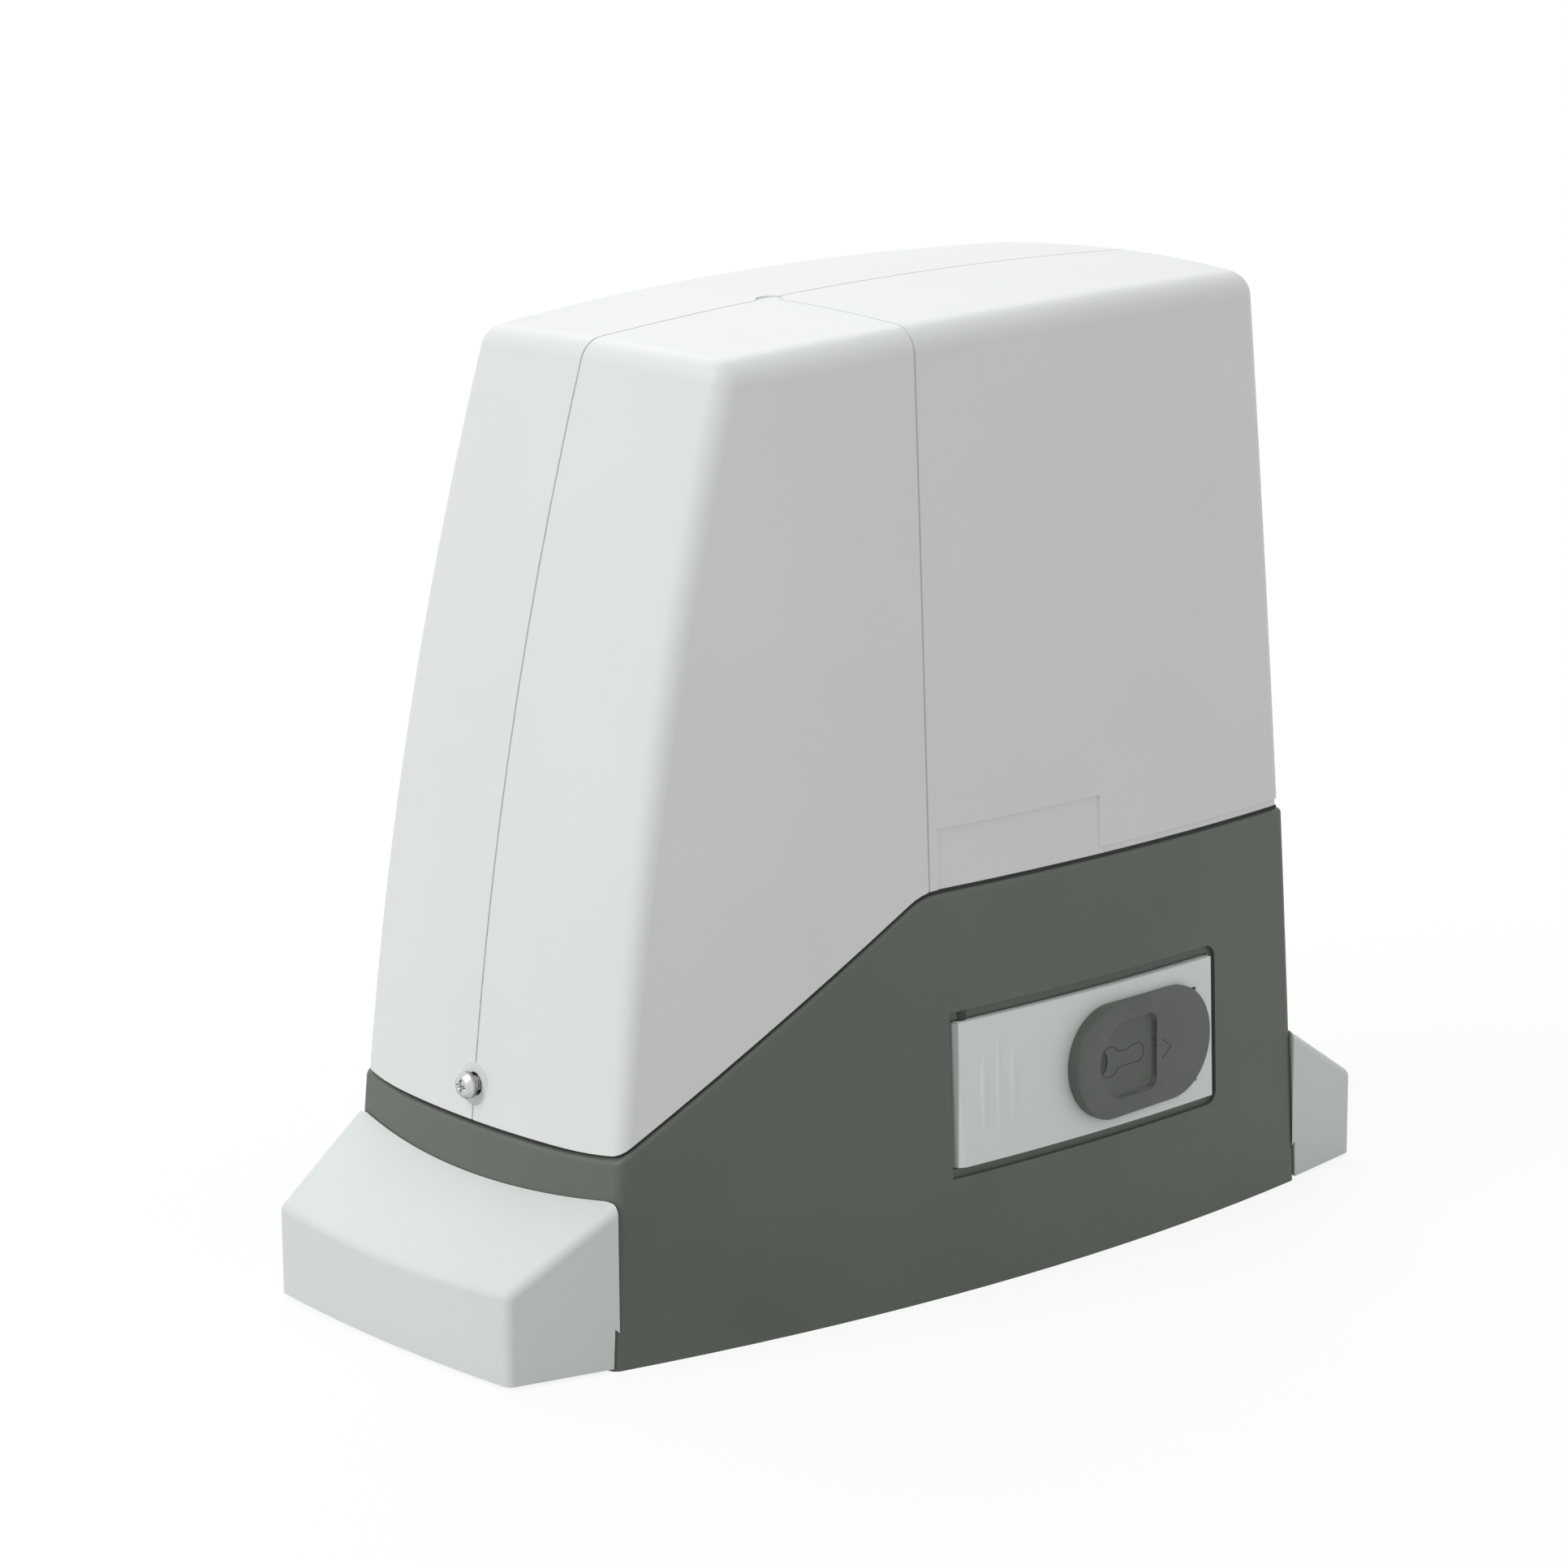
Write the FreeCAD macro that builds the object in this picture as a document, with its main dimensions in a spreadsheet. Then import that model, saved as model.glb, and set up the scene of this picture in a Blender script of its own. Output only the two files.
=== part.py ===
import FreeCAD, Part
import Sketcher
import math
import os
import re
from FreeCAD import Placement, Rotation, Vector

# Sliding gate motor: worm gear motor in a bulged base casing under a lift-off hood.
# Frame: +X along the length, -Y the release side, +Y the rack side, +Z up, and the
# origin on the ground at the middle of the casing. Millimetres.

SIZES = {
    # Casing walls: corners of the plan outline, how they lean in, and their bulge.
    "half_length": 132.5,
    "left_lean": 0.0306,
    "left_curve": 0.00051,
    "right_lean": 0.0341,
    "right_curve": 0.00008,
    "half_depth": 60.7,
    "side_lean": 0.0218,
    "side_bulge": 12.7,
    "side_bulge_fall": 0.014,
    "end_bulge": 6.4,
    "end_bulge_fall": 0.0062,
    "case_wall": 4.8,
    "case_corner": 3.0,
    "floor_thick": 6.0,
    # Joint line between casing and hood: low on the left, a slope, high on the right.
    "seam_low": 57.5,
    "seam_high": 117.5,
    "seam_turn": 131.0,
    "seam_knee": 26.7,
    "knee_round": 20.0,
    "turn_round": 6.0,
    "seam_gap": 1.2,
    "rim_round": 1.4,
    "lip_height": 5.0,
    "lip_corner": 5.5,
    "slip": 0.3,
    # Hood.
    "hood_top": 282.6,
    "hood_inset": 0.4,
    "hood_wall": 2.6,
    "crown_peak": 71.0,
    "crown_along": 1430.0,
    "crown_across": 685.0,
    "shoulder": 8.0,
    "hood_corner": 4.5,
    "groove_width": 0.7,
    "groove_depth": 0.5,
    "groove_along": 24.2,
    "dimple": 4.0,
    "plaque_start": 21.0,
    "plaque_end": 42.5,
    "plaque_high": 18.5,
    "rebate_high": 3.2,
    "rebate_depth": 0.5,
    # Hood screws, one in each end wall.
    "screw_low": 69.0,
    "screw_high": 128.0,
    "screw_radius": 2.0,
    "screw_head": 3.9,
    "screw_head_thick": 3.0,
    "screw_stand": 5.0,
    "screw_well": 6.0,
    "screw_well_deep": 9.0,
    "screw_boss": 8.4,
    "screw_boss_floor": 2.4,
    "lug_thick": 4.0,
    "lug_half": 9.0,
    "nut_across": 7.0,
    "nut_thick": 3.2,
    # Foot flanges, anchor slots and foot covers at both ends.
    "flange_gap": 0.4,
    "flange_side_gap": 3.4,
    "flange_thick": 8.0,
    "slot_inset": 12.5,
    "slot_side_inset": 12.0,
    "slot_radius": 5.25,
    "slot_straight": 7.5,
    "leveller_inset": 11.0,
    "leveller_across": 14.0,
    "leveller_radius": 4.0,
    "leveller_long": 21.0,
    "leveller_boss": 8.0,
    "leveller_boss_high": 14.0,
    "foot_reach": 163.9,
    "foot_half": 53.9,
    "foot_bulge": 2.8,
    "foot_high": 27.2,
    "foot_join": 46.5,
    "foot_wall": 2.5,
    "foot_lift": 1.0,
    "foot_round": 3.0,
    # Release recess in the front wall, and the lever in it.
    "recess_left": 18.4,
    "recess_right": 90.0,
    "recess_low": 36.5,
    "recess_high": 80.0,
    "recess_back": 49.0,
    "recess_wall": 3.0,
    "rim_step": 1.2,
    "rim_wide": 2.6,
    "rim_corner": 4.0,
    "lever_gap": 0.5,
    "lever_proud": 1.0,
    "lever_back": 61.0,
    "hinge_along": 13.0,
    "hinge_deep": 68.0,
    "hinge_round": 5.0,
    "hinge_pin": 2.0,
    "running": 0.06,
    "heel_half": 4.5,
    "heel_high": 12.0,
    "ridge_long": 17.5,
    "ridge_half": 1.4,
    "ridge_proud": 0.5,
    "ridge_step": 5.7,
    "ridge_mid": 1.4,
    # Sliding lock cover on the lever and the lock below it.
    "cover_left": 26.0,
    "cover_right": 87.4,
    "cover_mid": 57.4,
    "cover_round": 17.1,
    "cover_gap": 0.3,
    "cover_thick_left": 4.6,
    "cover_thick_right": 1.7,
    "cover_travel": 22.0,
    "dish_left": 36.0,
    "dish_right": 62.0,
    "dish_half": 11.7,
    "dish_deep": 1.3,
    "dish_corner": 3.5,
    "dish_bow": 11.0,
    "cover_edge": 0.6,
    "rail_left": 50.0,
    "rail_long": 10.0,
    "rail_off": 12.6,
    "rail_half": 1.5,
    "rail_bite": 0.8,
    "lock_along": 38.0,
    "lock_radius": 7.0,
    "lock_shell": 2.2,
    "lock_sink": 0.8,
    "lock_back": 54.5,
    "lock_cam_long": 14.0,
    "lock_cam_thick": 2.0,
    # Gear train: vertical worm beside the wheel on the output shaft.
    "shaft_height": 58.0,
    "gear_module": 2.0,
    "wheel_teeth": 30,
    "wheel_width": 16.0,
    "wheel_mid": 8.0,
    "wheel_hub": 19.0,
    "hub_front": 10.0,
    "hub_rear": 20.0,
    "worm_pitch_radius": 10.0,
    "worm_turns": 5,
    "backlash": 0.6,
    "tip_gap": 0.5,
    "shaft_radius": 10.0,
    "shaft_collar": 12.5,
    "shaft_front": 30.0,
    "shaft_rear": 103.5,
    "pinion_module": 4.0,
    "pinion_teeth": 16,
    "pinion_width": 28.0,
    "pinion_front": 76.0,
    "key_wide": 6.0,
    "key_long": 22.0,
    "key_rise": 3.0,
    "key_sink": 3.5,
    "bolt_radius": 4.0,
    "bolt_across": 13.0,
    "bolt_long": 16.0,
    "washer_radius": 13.5,
    "washer_thick": 2.5,
    # Clutch rod in the hollow shaft, and the button that lets it out.
    "clutch_radius": 4.0,
    "clutch_pin": 2.5,
    "clutch_pin_half": 16.0,
    "clutch_pin_deep": 6.0,
    "clutch_travel": 7.0,
    "clutch_nose": 38.0,
    "clutch_tail": 1.0,
    "spring_wire": 0.8,
    "spring_radius": 2.9,
    "spring_turns": 6,
    "button_radius": 6.0,
    "button_cap": 8.0,
    "button_cap_thick": 2.5,
    # Gearbox housing and its front cover.
    "drum_radius": 41.0,
    "drum_front": 14.0,
    "drum_rear": 44.0,
    "chamber_radius": 33.5,
    "chamber_rear": 22.0,
    "rear_boss": 30.0,
    "rear_boss_end": 72.0,
    "worm_drum": 21.0,
    "worm_chamber": 13.3,
    "flange_radius": 48.0,
    "motor_seat": 108.0,
    "motor_flange": 8.0,
    "foot_plate_low": 12.0,
    "foot_plate_thick": 8.0,
    "foot_plate_left": 46.0,
    "foot_plate_right": 73.0,
    "foot_plate_front": 10.0,
    "foot_plate_rear": 42.0,
    "foot_bolt_inset": 8.0,
    "foot_bolt": 3.0,
    "foot_bolt_head": 5.0,
    "foot_bolt_boss": 7.0,
    "cover_plate": 6.0,
    "cover_hub": 27.0,
    "cover_hub_deep": 20.0,
    "button_boss": 10.5,
    "cover_screw_ring": 37.3,
    "cover_screw": 2.0,
    "cover_screw_head": 3.5,
    "cover_screw_long": 14.0,
    # Bearings: outer radius and width.
    "rear_bearing_outer": 23.5,
    "rear_bearing_wide": 14.0,
    "front_bearing_outer": 21.0,
    "front_bearing_wide": 12.0,
    "seal_wide": 7.0,
    "foot_bearing_outer": 13.0,
    "foot_bearing_wide": 8.0,
    "foot_bearing_low": 25.0,
    "neck_bearing_outer": 17.5,
    "neck_bearing_wide": 11.0,
    "top_bearing_outer": 13.0,
    "top_bearing_wide": 8.0,
    "worm_foot_radius": 5.0,
    "worm_core": 7.5,
    # Motor.
    "stator_outer": 48.0,
    "stator_inner": 27.5,
    "stator_low": 124.0,
    "stator_long": 72.0,
    "bell_wall": 4.0,
    "bell_high": 24.0,
    "air_gap": 0.5,
    "winding_outer": 40.5,
    "winding_inner": 29.0,
    "winding_high": 12.0,
    "tie_ring": 44.0,
    "tie_radius": 2.0,
    "tie_head": 3.5,
    # Control unit on its bracket.
    "bracket_along": 46.0,
    "bracket_thick": 3.0,
    "bracket_half": 44.0,
    "bracket_high": 186.0,
    "bracket_foot": 17.0,
    "board_thick": 1.6,
    "board_half": 42.0,
    "board_low": 70.0,
    "board_high": 180.0,
    "board_stand": 5.0,
    "board_screw_inset": 5.0,
    "board_screw": 1.5,
    "board_screw_head": 2.8,
    "capacitor_radius": 16.0,
    "capacitor_long": 70.0,
    "capacitor_low": 106.0,
    "capacitor_along": 25.5,
    # Cable entry in the floor, and the magnetic limit sensor.
    "entry_along": 88.0,
    "entry_radius": 16.0,
    "grommet_bore": 13.0,
    "grommet_lip": 3.5,
    "sensor_half": 20.0,
    "sensor_high": 14.0,
    "sensor_deep": 8.0,
    "sensor_front": 56.0,
    "sensor_shelf": 94.0,
}

doc = FreeCAD.newDocument("sliding_gate_motor")
sheet = doc.addObject("Spreadsheet::Sheet", "sizes")
for row, (alias, number) in enumerate(SIZES.items(), 1):
    sheet.set("A%d" % row, alias)
    sheet.set("B%d" % row, str(number))
    sheet.setAlias("B%d" % row, alias)
doc.recompute()

PARTS = {}
TURN = {
    "X": Rotation(Vector(0, 1, 0), 90),
    "Y": Rotation(Vector(1, 0, 0), -90),
    "Z": Rotation(),
}


# ---------------------------------------------------------------- helpers

def cells(text):
    """The expression with each size's alias pointing at the sheet."""
    def named(found):
        word = found.group(0)
        return "sizes." + word if word in SIZES else word
    return re.sub(r"[a-z][a-z_]+", named, str(text))


def bind(thing, **sizes):
    for name, text in sizes.items():
        thing.setExpression(name, cells(text))
    return thing


def place(thing, at, turn=Rotation()):
    thing.Placement = Placement(Vector(), turn)
    for letter, text in zip("xyz", at):
        thing.setExpression("Placement.Base." + letter, cells(text))
    return thing


def box(low, high):
    """A block between two corners, each an (x, y, z) of expressions."""
    block = doc.addObject("Part::Box", "block")
    spans = ["(%s)-(%s)" % (b, a) for a, b in zip(low, high)]
    bind(block, Length=spans[0], Width=spans[1], Height=spans[2])
    return place(block, low)


def rod(radius, start, end, at, axis="Z"):
    """A cylinder along an axis from start to end; at holds the other two coordinates."""
    cylinder = doc.addObject("Part::Cylinder", "rod")
    bind(cylinder, Radius=radius, Height="(%s)-(%s)" % (end, start))
    place_of = {"X": (start, at[0], at[1]), "Y": (at[0], start, at[1]), "Z": (at[0], at[1], start)}
    return place(cylinder, place_of[axis], TURN[axis])


def fuse(*shapes):
    if len(shapes) == 1:
        return shapes[0]
    union = doc.addObject("Part::MultiFuse", "union")
    union.Shapes = list(shapes)
    return union


def cut(base, *tools):
    rest = doc.addObject("Part::Cut", "rest")
    rest.Base = base
    rest.Tool = fuse(*tools)
    return rest


def common(*shapes):
    overlap = doc.addObject("Part::MultiCommon", "overlap")
    overlap.Shapes = list(shapes)
    return overlap


def group(*shapes):
    several = doc.addObject("Part::Compound", "group")
    several.Links = list(shapes)
    return several


def rounded(base, chosen):
    """Fillet base: chosen maps an edge to (first radius, last radius), or None."""
    doc.recompute()
    edges = []
    for number, edge in enumerate(base.Shape.Edges, 1):
        radii = chosen(edge)
        if radii:
            edges.append((number, radii[0], radii[1]))
    fillet = doc.addObject("Part::Fillet", "rounded")
    fillet.Base = base
    fillet.Edges = edges
    return fillet


def part(name, thing):
    thing.Label = name
    PARTS[name] = thing
    return thing


def origin_plane(body, role):
    return [f for f in body.Origin.OriginFeatures if f.Role == role][0]


def new_sketch(body, role):
    sketch = body.newObject("Sketcher::SketchObject", "sketch")
    sketch.AttachmentSupport = [(origin_plane(body, role), "")]
    sketch.MapMode = "FlatFace"
    return sketch


def fix_point(sketch, name, geometry, end, x, y, near=(1.0, 1.0)):
    """Hold one end of a sketch line or arc at (x, y), both expressions."""
    for kind, letter, text, start in (("DistanceX", "x", x, near[0]), ("DistanceY", "y", y, near[1])):
        number = sketch.addConstraint(Sketcher.Constraint(kind, -1, 1, geometry, end, start))
        sketch.renameConstraint(number, name + letter)
        sketch.setExpression("Constraints." + name + letter, cells(text))


def polygon(sketch, points):
    """A closed outline whose corners are expressions."""
    count = len(points)
    ring = [Vector(math.cos(2 * math.pi * i / count), math.sin(2 * math.pi * i / count), 0) * 50
            for i in range(count)]
    for i in range(count):
        sketch.addGeometry(Part.LineSegment(ring[i], ring[(i + 1) % count]), False)
    for i in range(count):
        sketch.addConstraint(Sketcher.Constraint("Coincident", i, 2, (i + 1) % count, 1))
    for i, (x, y) in enumerate(points):
        fix_point(sketch, "p%d" % i, i, 1, x, y)


def prism(role, points, length):
    """A pad of a polygon, half of its length on each side of the plane."""
    body = doc.addObject("PartDesign::Body", "prism")
    sketch = new_sketch(body, role)
    polygon(sketch, points)
    pad = body.newObject("PartDesign::Pad", "pad")
    pad.Profile = sketch
    pad.Midplane = True
    bind(pad, Length=length)
    return body


def turned(points, at, axis="Z"):
    """A turned piece: points are (radius, height) along the axis, which stands at 'at'."""
    body = doc.addObject("PartDesign::Body", "turned")
    sketch = new_sketch(body, "XZ_Plane")
    polygon(sketch, points)
    spin = body.newObject("PartDesign::Revolution", "spin")
    spin.Profile = sketch
    spin.ReferenceAxis = (sketch, ["V_Axis"])
    spin.Angle = 360
    return place(body, at, TURN[axis])


def wall_values(level, inset):
    """Corner x left and right, corner y, side bulge and end bulge at a height."""
    s = SIZES
    left = -(s["half_length"] - s["left_lean"] * level - s["left_curve"] * level ** 2) + inset
    right = s["half_length"] - s["right_lean"] * level - s["right_curve"] * level ** 2 - inset
    deep = s["half_depth"] - s["side_lean"] * level - inset
    side = s["side_bulge"] - s["side_bulge_fall"] * level
    end = s["end_bulge"] - s["end_bulge_fall"] * level
    return left, right, deep, side, end


def casing_form(*insets):
    """The solid inside the casing's walls, set in by the named sizes, up past the crown."""
    inset_text = "(0%s)" % "".join(n if n[0] == "-" else "+" + n for n in insets)
    inset = sum(-SIZES[n[1:]] if n[0] == "-" else SIZES[n] for n in insets)
    body = doc.addObject("PartDesign::Body", "form")
    sections = []
    for share in (0, 0.25, 0.5, 0.75, 1.04):
        level = "(hood_top*%g)" % share
        left, right, deep, side, end = wall_values(SIZES["hood_top"] * share, inset)
        left_text = "-(half_length-left_lean*%s-left_curve*%s^2)+%s" % (level, level, inset_text)
        right_text = "half_length-right_lean*%s-right_curve*%s^2-%s" % (level, level, inset_text)
        deep_text = "(half_depth-side_lean*%s-%s)" % (level, inset_text)
        side_text = "(side_bulge-side_bulge_fall*%s)" % level
        end_text = "(end_bulge-end_bulge_fall*%s)" % level
        half_text = "((%s-(%s))/2)" % (right_text, left_text)
        sketch = new_sketch(body, "XY_Plane")
        sketch.setExpression("AttachmentOffset.Base.z", cells(level))
        middle = (left + right) / 2
        corners = [(left, -deep), (right, -deep), (right, deep), (left, deep)]
        crests = [(middle, -deep - side), (right + end, 0), (middle, deep + side), (left - end, 0)]
        texts = [(left_text, "-" + deep_text), (right_text, "-" + deep_text),
                 (right_text, deep_text), (left_text, deep_text)]
        ends = []
        for i in range(4):
            start = Vector(*corners[i], 0)
            stop = Vector(*corners[(i + 1) % 4], 0)
            sketch.addGeometry(Part.Arc(start, Vector(*crests[i], 0), stop), False)
            near = (sketch.Geometry[i].StartPoint - start).Length < 1e-6
            ends.append((1, 2) if near else (2, 1))
        for i in range(4):
            after = (i + 1) % 4
            sketch.addConstraint(Sketcher.Constraint("Coincident", i, ends[i][1], after, ends[after][0]))
        for i in range(4):
            fix_point(sketch, "c%d" % i, i, ends[i][0], texts[i][0], texts[i][1], corners[i])
        chords = [((right - left) / 2, side, half_text, side_text), (deep, end, deep_text, end_text)] * 2
        for i, (half, rise, half_words, rise_words) in enumerate(chords):
            radius = (half ** 2 + rise ** 2) / (2 * rise)
            number = sketch.addConstraint(Sketcher.Constraint("Radius", i, radius))
            sketch.renameConstraint(number, "r%d" % i)
            words = "(%s^2+%s^2)/(2*%s)" % (half_words, rise_words, rise_words)
            sketch.setExpression("Constraints.r%d" % i, cells(words))
        sections.append(sketch)
    loft = body.newObject("PartDesign::AdditiveLoft", "walls")
    loft.Profile = sections[0]
    loft.Sections = sections[1:]
    return body


def seam_block(lift):
    """Everything below the joint line, raised by lift."""
    low = "seam_low+(%s)" % lift
    high = "seam_high+(%s)" % lift
    body = prism("XZ_Plane", [
        ("-half_length*1.5", "-half_depth"), ("half_length*1.5", "-half_depth"),
        ("half_length*1.5", high), ("-seam_knee", high),
        ("-seam_turn", low), ("-half_length*1.5", low)], "half_depth*4")
    doc.recompute()
    pad = body.Tip
    knees = {"knee_round": -SIZES["seam_knee"], "turn_round": -SIZES["seam_turn"]}
    for size, along in knees.items():
        names = []
        for number, edge in enumerate(body.Tip.Shape.Edges, 1):
            spot = edge.BoundBox
            if spot.YLength > SIZES["half_depth"] and abs(spot.Center.x - along) < 0.01:
                names.append("Edge%d" % number)
        fillet = body.newObject("PartDesign::Fillet", size)
        fillet.Base = (body.Tip if body.Tip != fillet else pad, names)
        bind(fillet, Radius=size)
        pad = fillet
        doc.recompute()
    return body


def crown_block(drop):
    """Everything under the doubly curved top, lowered by drop."""
    body = doc.addObject("PartDesign::Body", "crown")
    sketch = new_sketch(body, "XZ_Plane")
    s = SIZES
    top = s["hood_top"]
    reach = s["half_length"] * 1.2
    sag = [s["crown_along"] - math.sqrt(s["crown_along"] ** 2 - (x - s["crown_peak"]) ** 2)
           for x in (-reach, reach)]
    left = Vector(-reach, top - sag[0], 0)
    right = Vector(reach, top - sag[1], 0)
    foot = -s["half_depth"]
    sketch.addGeometry(Part.Arc(right, Vector(s["crown_peak"], top, 0), left), False)
    sketch.addGeometry(Part.LineSegment(right, Vector(reach, foot, 0)), False)
    sketch.addGeometry(Part.LineSegment(Vector(reach, foot, 0), Vector(-reach, foot, 0)), False)
    sketch.addGeometry(Part.LineSegment(Vector(-reach, foot, 0), left), False)
    first = 1 if (sketch.Geometry[0].StartPoint - left).Length < 1e-6 else 2
    last = 3 - first
    for pair in ((0, last, 1, 1), (1, 2, 2, 1), (2, 2, 3, 1), (3, 2, 0, first)):
        sketch.addConstraint(Sketcher.Constraint("Coincident", *pair))
    sketch.addConstraint(Sketcher.Constraint("Vertical", 1))
    sketch.addConstraint(Sketcher.Constraint("Vertical", 3))
    fix_point(sketch, "low", 2, 1, "half_length*1.2", "-half_depth", (reach, foot))
    fix_point(sketch, "far", 2, 2, "-half_length*1.2", "-half_depth", (-reach, foot))
    fix_point(sketch, "mid", 0, 3, "crown_peak", "hood_top-(%s)-crown_along" % drop,
              (s["crown_peak"], top - s["crown_along"]))
    number = sketch.addConstraint(Sketcher.Constraint("Radius", 0, s["crown_along"]))
    sketch.renameConstraint(number, "along")
    sketch.setExpression("Constraints.along", cells("crown_along"))
    axis = Vector(0, top - s["crown_across"], 0)
    sketch.addGeometry(Part.LineSegment(axis, axis + Vector(100, 0, 0)), True)
    sketch.addConstraint(Sketcher.Constraint("Horizontal", 4))
    fix_point(sketch, "turn", 4, 1, "0", "hood_top-(%s)-crown_across" % drop, (0.0, axis.y))
    sketch.addConstraint(Sketcher.Constraint("DistanceX", 4, 1, 4, 2, 100.0))
    spin = body.newObject("PartDesign::Revolution", "crown_spin")
    spin.Profile = sketch
    spin.ReferenceAxis = (sketch, ["Axis0"])
    spin.Angle = 16
    spin.Midplane = True
    return body


def bearing(bore, outer, start, wide, at, axis="Y"):
    """A sealed ball bearing: one ring with its two shields set back."""
    inner_ring = "(%s)+((%s)-(%s))*0.3" % (bore, outer, bore)
    outer_ring = "(%s)-((%s)-(%s))*0.25" % (outer, outer, bore)
    origin = {"Y": (at[0], start, at[1]), "Z": (at[0], at[1], start)}[axis]
    profile = [(bore, "0"), (inner_ring, "0"), (inner_ring, "0.6"), (outer_ring, "0.6"),
               (outer_ring, "0"), (outer, "0"), (outer, wide), (outer_ring, wide),
               (outer_ring, "(%s)-0.6" % wide), (inner_ring, "(%s)-0.6" % wide),
               (inner_ring, wide), (bore, wide)]
    return turned(profile, origin, axis)


def involute(angle):
    return math.tan(angle) - angle


def gear(teeth, module, width, lead=0.0):
    """A spur gear blank with involute gaps, twisted by lead (radians of slope) if given."""
    pressure = math.radians(20)
    pitch = teeth * module / 2
    root = pitch - 1.25 * module
    tip = pitch + module
    base = pitch * math.cos(pressure)

    def half_gap(radius):
        swing = involute(math.acos(base / radius)) if radius > base else 0.0
        return math.pi / teeth / 2 - involute(pressure) + swing

    def gap(height, turn):
        def spot(radius, angle):
            return Vector(radius * math.cos(angle + turn), radius * math.sin(angle + turn), height)
        beyond = tip + module / 2
        wide = half_gap(beyond)
        low = half_gap(root)
        right_side = Part.Arc(spot(root, low), spot(pitch, half_gap(pitch)), spot(beyond, wide))
        left_side = Part.Arc(spot(beyond, -wide), spot(pitch, -half_gap(pitch)), spot(root, -low))
        bottom = Part.Arc(spot(root, -low), spot(root, 0), spot(root, low))
        far = Part.LineSegment(spot(beyond, wide), spot(beyond, -wide))
        return Part.Wire([c.toShape() for c in (bottom, right_side, far, left_side)])

    half_twist = math.tan(lead) * (width / 2 + 1) / pitch
    if lead:
        wires = [gap(-width / 2 - 1, -half_twist), gap(width / 2 + 1, half_twist)]
        tooth_gap = Part.makeLoft(wires, True, True)
    else:
        tooth_gap = Part.Face(gap(-width / 2 - 1, 0)).extrude(Vector(0, 0, width + 2))
    gaps = []
    for i in range(teeth):
        copy = tooth_gap.copy()
        copy.rotate(Vector(), Vector(0, 0, 1), 360 * i / teeth)
        gaps.append(copy)
    blank = Part.makeCylinder(tip, width, Vector(0, 0, -width / 2))
    return blank.cut(gaps)


# ---------------------------------------------------------------- casing and hood

def ends_of(edge, letter):
    """The lowest and highest coordinate of an edge's ends."""
    values = [getattr(v.Point, letter) for v in edge.Vertexes]
    return min(values), max(values)


FLANGE_END = "(foot_reach-foot_wall-flange_gap)"
FLANGE_SIDE = "(foot_half-foot_wall-flange_side_gap)"
SLOT_ALONG = "(%s-slot_inset)" % FLANGE_END
SLOT_ACROSS = "(%s-slot_side_inset)" % FLANGE_SIDE
LEVELLER_ALONG = "(%s-leveller_inset)" % FLANGE_END


def along_y(radius_at):
    """Chooses a block's edges that run along Y; radius_at gives each one's radius from its x."""
    def chosen(edge):
        low, high = ends_of(edge, "y")
        if high - low < 1 or edge.Vertexes[0].Point.distanceToPoint(edge.Vertexes[-1].Point) > high - low + 0.01:
            return None
        radius = radius_at(edge.Vertexes[0].Point.x)
        return (radius, radius) if radius else None
    return chosen


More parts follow.
